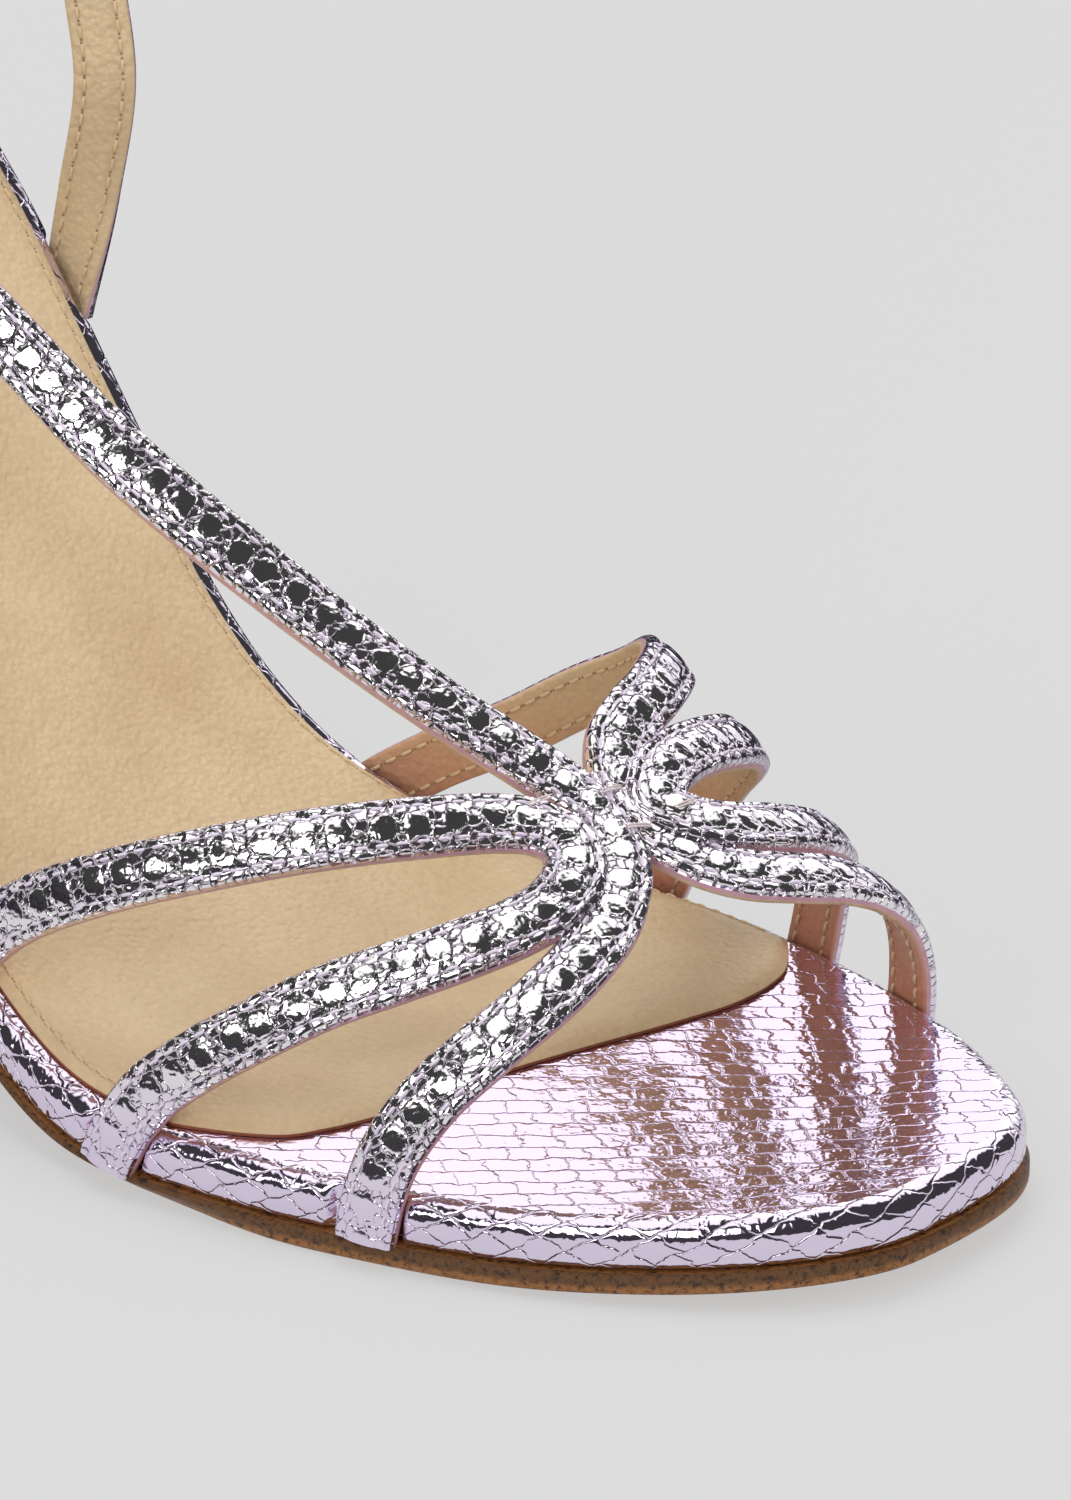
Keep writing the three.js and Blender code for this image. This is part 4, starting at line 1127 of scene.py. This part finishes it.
# Painted light and shade: below these heights the lining is multiplied by a pink tint, for the
# foil's reflected light and the shade near the foot
foil_bounce_share = remap(tree, lining_parts.outputs[2], foil_bounce_low * MM, foil_bounce_high * MM, 1.0, 0.0)
foil_bounce_tint = blend(tree, foil_bounce_share, linear("#ffffff"), linear("#f3bfc0"))
foil_bounce_tinted = blend(tree, 1.0, grained, foil_bounce_tint, blend_type="MULTIPLY")
feed(tree, surface, {"Base Color": foil_bounce_tinted})

half = strap_width / 2
foil_across = np.linspace(half - 0.5, -half + 0.5, 27)
lining_across = np.linspace(half - 0.35, -half + 0.35, 7)


def strap_section():
    """Places across and out round a strap, with a finish between each and the next:
    foil is 0, lining 1 and edge paint 2."""
    edge = [(half - 0.35, 0.0), (half - 0.08, 0.12), (half, 0.3), (half, lining_height),
            (half - 0.02, paint_height), (half - 0.06, 1.6), (half - 0.22, 1.86)]
    edge_finish = [1, 1, 1, 2, 0, 0, 0]
    top = [(b, strap_thickness) for b in foil_across]
    left = [(-b, n) for b, n in edge[::-1]]
    left_finish = [0, 0, 2, 1, 1, 1, 1]
    under = [(b, 0.0) for b in lining_across[::-1][1:-1]]
    places = edge + top + left + under
    finishes = edge_finish + [0] * len(top) + left_finish + [1] * len(under)
    return np.array(places), np.array(finishes)


strap_places, strap_finishes = strap_section()


def strap(shell, route, begin, end, offset=None, step=0.3):
    """A strap of even width along a route, closed at both ends."""
    count = int((end - begin) / step) + 2
    u = np.linspace(begin, end, count)
    point, along, out, across = route.frames(u)
    b = np.tile(strap_places[:, 0], (count, 1))
    n = np.tile(strap_places[:, 1], (count, 1))
    on_top = n >= strap_thickness - 1e-6
    n = n + np.where(on_top, strap_relief(u[:, None] + 0 * b, b), 0)
    if offset is not None:
        n = n + offset(u)[:, None]
    points = point[:, None] + across[:, None] * b[..., None] + out[:, None] * n[..., None]
    flows = np.stack([u[:, None] + 0 * b, b, n], -1)
    columns = len(strap_places)
    faces = grid_faces(count, columns, closed=True)
    shell.add(points, faces, np.tile(strap_finishes, count - 1), flows)
    shell.add(points[[0, -1]], [face[::-1] for face in end_faces(columns)], 1, flows[[0, -1]])


def strap_stitching(shell, route, begin, end, offset=None):
    """Rows at both sides: lilac thread on the foil, tan on the lining."""
    for side in (-1, 1):
        for middle in np.arange(begin + 3, end - 3, stitch_pitch):
            point, along, out, across = route.frame(middle)
            rest = 0 if offset is None else float(offset(middle))
            b = side * stitch_row_place
            foil = strap_thickness + float(strap_relief(np.array(middle), np.array(b)))
            thread_stitch(shell, point + across * b + out * (foil + rest), along, out, across,
                          stitch_length, foil_thread_radius, 0, 2)
            thread_stitch(shell, point + across * b + out * rest, along, -out, -across,
                          stitch_length, lining_thread_radius, 1, 2)


buckle_distance = 212
wire_radius = 0.7
prong_radius = 0.5
fold_wall = 0.8
prong_play = 0.1
bar_level = wire_radius + clearance + 2 * prong_radius + prong_play
vamp = [
    (outer_lateral, outer_lateral.foot(), buckle_distance),
    (inner_lateral, inner_lateral.foot(), inner_lateral.foot(True)),
    (outer_medial, outer_medial.foot(), outer_medial.foot(True)),
    (inner_medial, inner_medial.foot(), inner_medial.foot(True)),
]
shell = Shell()
for route, begin, end in vamp:
    strap(shell, route, begin, end)
# The long strap's end is skived and folded round the buckle's bar
bar_point, bar_along, bar_out, bar_across = outer_lateral.frame(buckle_distance)
fold_radius = wire_radius + clearance + fold_wall
fold_sides = 48
fold_edge = 0.25
fold_edge_drop = 0.5
fold_places = np.concatenate([
    [-half, -half + 0.08], np.linspace(-half + fold_edge, half - fold_edge, 12),
    [half - 0.08, half]])
from_edge = (half - np.abs(fold_places)) / fold_edge
fold_radii = fold_radius - fold_edge_drop * np.clip(1 - from_edge, 0, 1) ** 2
fold_turns = full_turn(fold_sides)
fold_axis = bar_point + bar_out * bar_level + bar_across * fold_places[:, None]
fold_round = (np.cos(fold_turns)[:, None] * bar_along + np.sin(fold_turns)[:, None] * bar_out)
fold_points = fold_axis[:, None] + fold_radii[:, None, None] * fold_round[None]
fold_flows = np.zeros(fold_points.shape)
fold_flows[..., 0] = fold_turns[None] * fold_radius
fold_flows[..., 1] = fold_places[:, None]
shell.add(fold_points, grid_faces(len(fold_places), fold_sides, closed=True)[:, ::-1],
          0, fold_flows)
shell.add(fold_points[[0, -1]], end_faces(fold_sides), 2, fold_flows[[0, -1]])
straps = shell.make("vamp_straps", [foil_strap, lining, edge_paint], sharp_angle=75)
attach(straps, "root")
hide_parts("upper")

# Bar tacks where the straps meet: route, distance, across, heading and length
tacks = (
    (outer_lateral, 61.2, 2.6, 105, 2.8), (inner_lateral, 71.5, 2.5, 135, 3.0),
    (outer_lateral, 57.0, 2.7, 90, 2.6), (outer_lateral, 52.3, -2.8, 62, 2.4),
    (inner_medial, 53.0, 0.4, 130, 2.8),
)
shell = Shell()
for route, begin, end in vamp:
    strap_stitching(shell, route, begin, end)
tack_rise = 0.45
tack_gap = 0.16
tack_radius = 0.12
for route, middle, across_by, heading, length in tacks:
    point, along, out, across = route.frame(middle)
    turn = math.radians(heading)
    way = along * math.cos(turn) + across * math.sin(turn)
    for side in (-tack_gap, tack_gap):
        place_at = point + across * across_by + out * (strap_thickness + tack_rise)
        place_at = place_at + np.cross(way, out) * side
        thread_stitch(shell, place_at, way, out, np.cross(way, out), length, tack_radius, 3, 2)
strap_threads = shell.make("strap_stitching",
                           [lilac_thread, tan_thread, needle_hole_shade, rose_thread])
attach(strap_threads, "root")

# Ankle strap
# The strap that leaves the inner waist goes round behind the ankle and laps over the long
# strap at the buckle, with its free end through the keeper.
tail_length = 27
hole_start = 4.8
hole_spacing = 6
hole_radius = 0.9
hole_sides = 20
hole_rise = 0.47                  # over the strap's plain face, on top of its scales
hole_sink = 0.03
strap_over = strap_thickness + strap_padding + clearance
prong_ring = wire_radius + clearance + prong_radius
over_bar = bar_level + prong_ring + prong_radius + clearance
climb_from, climb_to = -7, -3     # past the bar, against the strap's own way
drop_from, drop_to = 2.2, 7.5
settle_from, settle_to = 12, 30
far_bar_level = strap_thickness + strap_padding + 2 * clearance + wire_radius


def ease(value, low, high):
    share = np.clip((value - low) / (high - low), 0, 1)
    return share * share * (3 - 2 * share)


def wrap_offset(distance):
    """The free end rises over the bar and passes under the frame's far side."""
    past = distance - buckle_distance
    climb = (over_bar - strap_over) * ease(past, climb_from, climb_to)
    drop = (over_bar - clearance) * ease(past, drop_from, drop_to)
    settle = clearance * ease(past, settle_from, settle_to)
    return strap_over + climb - drop - settle


shell = Shell()
wrap_begin = buckle_distance - tail_length
wrap_end = outer_lateral.foot(True)
strap(shell, outer_lateral, wrap_begin, wrap_end, wrap_offset)
wrap = shell.make("ankle_wrap_strap", [foil_strap, lining, edge_paint], sharp_angle=75)
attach(wrap, "root")
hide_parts("ankle_strap")

shell = Shell()
strap_stitching(shell, outer_lateral, wrap_begin, wrap_end, wrap_offset)
# Prong holes in the free end, drawn as discs in the painted shade of a hole, over and under it
for number in range(2):
    middle = wrap_begin + hole_start + hole_spacing * number
    point, along, out, across = outer_lateral.frame(middle)
    rest = float(wrap_offset(middle))
    hole_turns = full_turn(hole_sides)[:, None]
    rim = (np.cos(hole_turns) * along + np.sin(hole_turns) * across) * hole_radius
    for level_out, order in ((strap_thickness + hole_rise, -1), (-hole_sink, 1)):
        hole = point + rim + out * (rest + level_out)
        shell.add(hole, [list(range(hole_sides))[::order]], 2)
wrap_threads = shell.make("ankle_strap_stitching", [lilac_thread, tan_thread, needle_hole_shade])
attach(wrap_threads, "root")

# Covered heel
# A moulded plastic heel, slim and rounded, that widens into the seat. It is covered in the
# foil leather, whose two edges meet in a join down the heel's front.
heel_level = (0.0568, 0.25, 0.45, 0.6, 0.7, 0.78, 0.86, 1.15)
heel_front = (0.9083, 0.905, 0.898, 0.881, 0.852, 0.807, 0.769, 0.758)
heel_back = (0.9517, 0.956, 0.962, 0.971, 0.981, 0.991, 1.0, 1.005)
heel_half = (0.0579, 0.062, 0.077, 0.108, 0.164, 0.245, 0.325, 0.346)
top_piece_thickness = 5
heel_power = 2 / 2.3              # of its rounded section
heel_sides = 96
heel_rings = 90
heel_play = 0.02
join_depth = 0.3
join_half_width = 0.45
front_by_level = smooth_column(heel_level, heel_front)
back_by_level = smooth_column(heel_level, heel_back)
half_by_level = smooth_column(heel_level, heel_half)


def heel_point(level_share, turn):
    """A place on the heel's outside at a share of the rise."""
    front = front_by_level(level_share) * sole_length
    rear = back_by_level(level_share) * sole_length
    half_heel = half_by_level(level_share) * ball_width
    c, s = np.cos(turn), np.sin(turn)
    x = tread_station * sole_length - (front + rear) / 2
    x = x - (rear - front) / 2 * np.sign(c) * np.abs(c) ** heel_power
    x = np.maximum(x, (tread_station - 1) * sole_length + platform_inset + heel_play)
    y = half_heel * np.sign(s) * np.abs(s) ** heel_power
    at = tread_station - x / sole_length
    outer = -(half_width(at, -1) - platform_inset)
    inner_limit = half_width(at, 1) - platform_inset
    return np.stack([x, np.clip(y, outer, inner_limit), level_share * heel_rise + 0 * x], -1)


join_turns = math.pi + np.array([-0.06, -0.045, -0.03, -0.015, 0.015, 0.03, 0.045, 0.06])
turns = np.sort(np.concatenate([full_turn(heel_sides), join_turns]))
levels = np.linspace(0, heel_level[-1], 400)
tops = []
for turn in turns:
    column_points = heel_point(levels, turn)
    breast_x = (tread_station - breast_station) * sole_length - clearance
    under = np.where(column_points[:, 0] > breast_x, -clearance, outsole_thickness)
    roof = sole_rise(column_points[:, 0]) + under
    over = column_points[:, 2] > roof
    tops.append(levels[np.argmax(over)] if over.any() else levels[-1])
bottom = (top_piece_thickness + clearance) / heel_rise
shares = np.linspace(0, 1, heel_rings)[:, None]
level_grid = bottom + (np.array(tops)[None] - bottom) * shares
points = heel_point(level_grid, np.tile(turns, (heel_rings, 1)))
from_join = np.abs(turns - math.pi)[None] * half_by_level(level_grid) * ball_width
points[..., 0] -= join_depth * np.clip(1 - from_join / join_half_width, 0, 1)
flows = np.zeros(points.shape)
flows[..., 0] = turns[None] * half_by_level(level_grid) * ball_width
flows[..., 1] = level_grid * heel_rise
shell = Shell()
count = len(turns)
shell.add(points, grid_faces(heel_rings, count, closed=True)[:, ::-1], 0, flows)
shell.add(points[[0, -1]], end_faces(count), 0, flows[[0, -1]])
heel = shell.make("covered_heel", [foil_rim], sharp_angle=60)
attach(heel, "root")
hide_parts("heel")

# Strap keeper
# A narrow band of the same leather, folded into a loop round both straps beside the
# buckle, with its cut edges painted like theirs.
keeper_distance = 9
keeper_width = 4
keeper_wall = 1
keeper_inner_corner = 0.4
keeper_outer_corner = 1.3
point, along, out, across = outer_lateral.frame(buckle_distance - keeper_distance)
keeper_tall = strap_over + strap_thickness + strap_padding
keeper_middle = point + out * keeper_tall / 2


def rounded_loop(half_across, half_out, corner, turns=9):
    """Points round an upright rectangle with rounded corners, across and out."""
    places = []
    for quarter, (a, b) in enumerate(((1, 1), (-1, 1), (-1, -1), (1, -1))):
        for turn in np.linspace(0, 90, turns) + 90 * quarter:
            places.append((a * (half_across - corner) + corner * math.cos(math.radians(turn)),
                           b * (half_out - corner) + corner * math.sin(math.radians(turn))))
    return np.array(places)


inner_loop = rounded_loop(half + clearance, keeper_tall / 2 + clearance, keeper_inner_corner)
outer_loop = rounded_loop(half + clearance + keeper_wall,
                          keeper_tall / 2 + clearance + keeper_wall, keeper_outer_corner)
band_rows = [(-0.5, 0.1, 2), (-0.5, 0.85, 2), (-0.46, 0.96, 0), (-0.4, 1, 0), (0, 1.06, 0),
             (0.4, 1, 0), (0.46, 0.96, 0), (0.5, 0.85, 2), (0.5, 0.1, 1), (0.45, 0, 1),
             (-0.45, 0, 1)]
loop_run = np.concatenate([[0], np.cumsum(np.linalg.norm(np.diff(outer_loop, axis=0), axis=1))])
rings = []
flows = []
for place_along, depth, _ in band_rows:
    loop = inner_loop + (outer_loop - inner_loop) * depth
    rings.append(keeper_middle + along * place_along * keeper_width
                 + across * loop[:, :1] + out * loop[:, 1:])
    flows.append(np.column_stack([loop_run, np.full(len(loop), place_along * keeper_width),
                                  np.zeros(len(loop))]))
rings.append(rings[0])
flows.append(flows[0])
shell = Shell()
shell.add(np.array(rings), grid_faces(len(rings), len(outer_loop), closed=True),
          np.repeat([row[2] for row in band_rows], len(outer_loop)), np.array(flows))
keeper = shell.make("strap_keeper_band", [foil_strap, lining, edge_paint], sharp_angle=60)
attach(keeper, "root")
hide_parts("strap_keeper")

# Buckle
# A bent and soldered wire frame, and a wire prong that is looped over its bar and rests on
# the frame's far side. Both are plated pale gold.
buckle_reach = 9
buckle_corner = 1.6
prong_knee = 0.5
prong_knee_rise = 0.6
prong_end = 2.999                 # just short of the number of its line's last point

# Pale gold plate over brass: polished, with the faint drag lines of the buffing wheel
gold_plate, tree, surface = new_material("pale_gold_plate")
place = add(tree, "TexCoord")
drag_place = calc_vector(tree, "MULTIPLY", place.outputs["Object"], (1, 1, 6))
drag = add(tree, "TexNoise", {"Vector": drag_place, "Scale": 900.0, "Detail": 3.0})
plate_gloss = remap(tree, drag, start=0.08, end=0.22)
plate_color = blend(tree, drag, linear("#dcc796"), linear("#eadbb4"))
feed(tree, surface, {"Base Color": plate_color, "Metallic": 1.0, "Roughness": plate_gloss})
emboss(tree, surface, drag, 0.02, 0.3)


def tube(shell, path, normal, radius, closed=False, sides=20):
    """A round wire along a path in a plane; an open end is domed."""
    path = np.array(path, float)
    radii = np.full(len(path), float(radius))
    if closed:
        ways = np.roll(path, -1, axis=0) - np.roll(path, 1, axis=0)
    else:
        ends = []
        for tip, way in ((path[0], path[0] - path[1]), (path[-1], path[-1] - path[-2])):
            way = way / np.linalg.norm(way)
            ends.append([tip + way * radius * share for share in (0.45, 0.8, 0.98)])
        path = np.vstack([ends[0][::-1], path, ends[1]])
        dome = radius * np.array([0.89, 0.6, 0.2])
        radii = np.concatenate([dome[::-1], radii, dome])
        ways = np.gradient(path, axis=0)
    side = np.cross(unit(ways), normal)
    turns = full_turn(sides)
    points = path[:, None] + radii[:, None, None] * (
        np.cos(turns)[None, :, None] * side[:, None] + np.sin(turns)[None, :, None] * normal)
    count = len(path)
    faces = grid_faces(count + 1 if closed else count, sides, closed=True)[:, ::-1]
    if closed:
        faces = faces % (count * sides)
    shell.add(points, faces, 0)
    if not closed:
        shell.add(points[[0, -1]], end_faces(sides), 0)


def at_bar(along_by, out_by, across_by=0.0):
    return bar_point + bar_along * along_by + bar_out * out_by + bar_across * across_by


tilt = (far_bar_level - bar_level) / buckle_reach
frame_half = half + 2 * clearance + wire_radius
frame_path = []
for quarter, (a, b) in enumerate((
        (buckle_reach - buckle_corner, frame_half - buckle_corner),
        (buckle_corner, frame_half - buckle_corner),
        (buckle_corner, buckle_corner - frame_half),
        (buckle_reach - buckle_corner, buckle_corner - frame_half))):
    for turn in np.radians(np.linspace(0, 90, 12) + 90 * quarter):
        reach = a + buckle_corner * math.cos(turn)
        frame_path.append(at_bar(reach, bar_level + reach * tilt,
                                 b + buckle_corner * math.sin(turn)))
frame_normal = bar_out - bar_along * tilt
frame_normal /= np.linalg.norm(frame_normal)
shell = Shell()
tube(shell, frame_path, frame_normal, wire_radius, closed=True)
buckle_loop = shell.make("buckle_loop", [gold_plate])
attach(buckle_loop, "root")
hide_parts("buckle_frame")

ring_top = bar_level + prong_ring
tip_out = far_bar_level + wire_radius + clearance + prong_radius
prong_line = Spline([
    at_bar(0, ring_top),
    at_bar(buckle_reach * prong_knee, ring_top + (tip_out - ring_top) * prong_knee_rise),
    at_bar(buckle_reach, tip_out),
    at_bar(buckle_reach + 2 * wire_radius - prong_radius, tip_out),
]).point(np.linspace(0, prong_end, 40))
shell = Shell()
prong_eye = [at_bar(prong_ring * math.cos(turn), bar_level + prong_ring * math.sin(turn))
             for turn in full_turn(40)]
tube(shell, prong_eye, bar_across, prong_radius, closed=True)
tube(shell, prong_line, bar_across, prong_radius)
buckle_tongue = shell.make("buckle_tongue", [gold_plate])
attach(buckle_tongue, "root")
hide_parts("buckle_prong")

# Top piece
# A small piece of hard rubber under the heel's tip, with a softened lower edge and its side
# ground flush with the heel.
heel_tip_station = 0.93
heel_tip_length = 9
heel_tip_width = 9.2
top_piece_edge = 0.5
tip_sides = 72

# Ground rubber: matt near black, scuffed grey in fine lines round its side
top_rubber, tree, surface, grind = mottled(
    "ground_top_piece_rubber", "#262220", "#4c4641", 0.72, 700.0, 4.0, (1, 1, 7))
emboss(tree, surface, grind, 0.08, 0.5)

tip_turns = full_turn(tip_sides)
tip_x = (tread_station - heel_tip_station) * sole_length
tip_rows = [(0, 3), (0, 1), (0, top_piece_edge), (0.12, 0.15), (0.3, 0.03), (top_piece_edge, 0),
            (top_piece_thickness - 0.25, 0), (top_piece_thickness, 0.2), (top_piece_thickness, 3)]
tip_rings = []
for tip_level, inset in tip_rows:
    c, turned = np.cos(tip_turns), np.sin(tip_turns)
    tip_rings.append(np.column_stack([
        tip_x - (heel_tip_length / 2 - inset) * np.sign(c) * np.abs(c) ** heel_power,
        (heel_tip_width / 2 - inset) * np.sign(turned) * np.abs(turned) ** heel_power,
        np.full(len(c), float(tip_level))]))
shell = Shell()
tip_rings = np.array(tip_rings)
shell.add(tip_rings, grid_faces(len(tip_rows), tip_sides, closed=True)[:, ::-1], 0)
shell.add(tip_rings[[0, -1]], end_faces(tip_sides), 0)
top_piece = shell.make("rubber_top_piece", [top_rubber])
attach(top_piece, "root")
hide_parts("heel_top_piece")
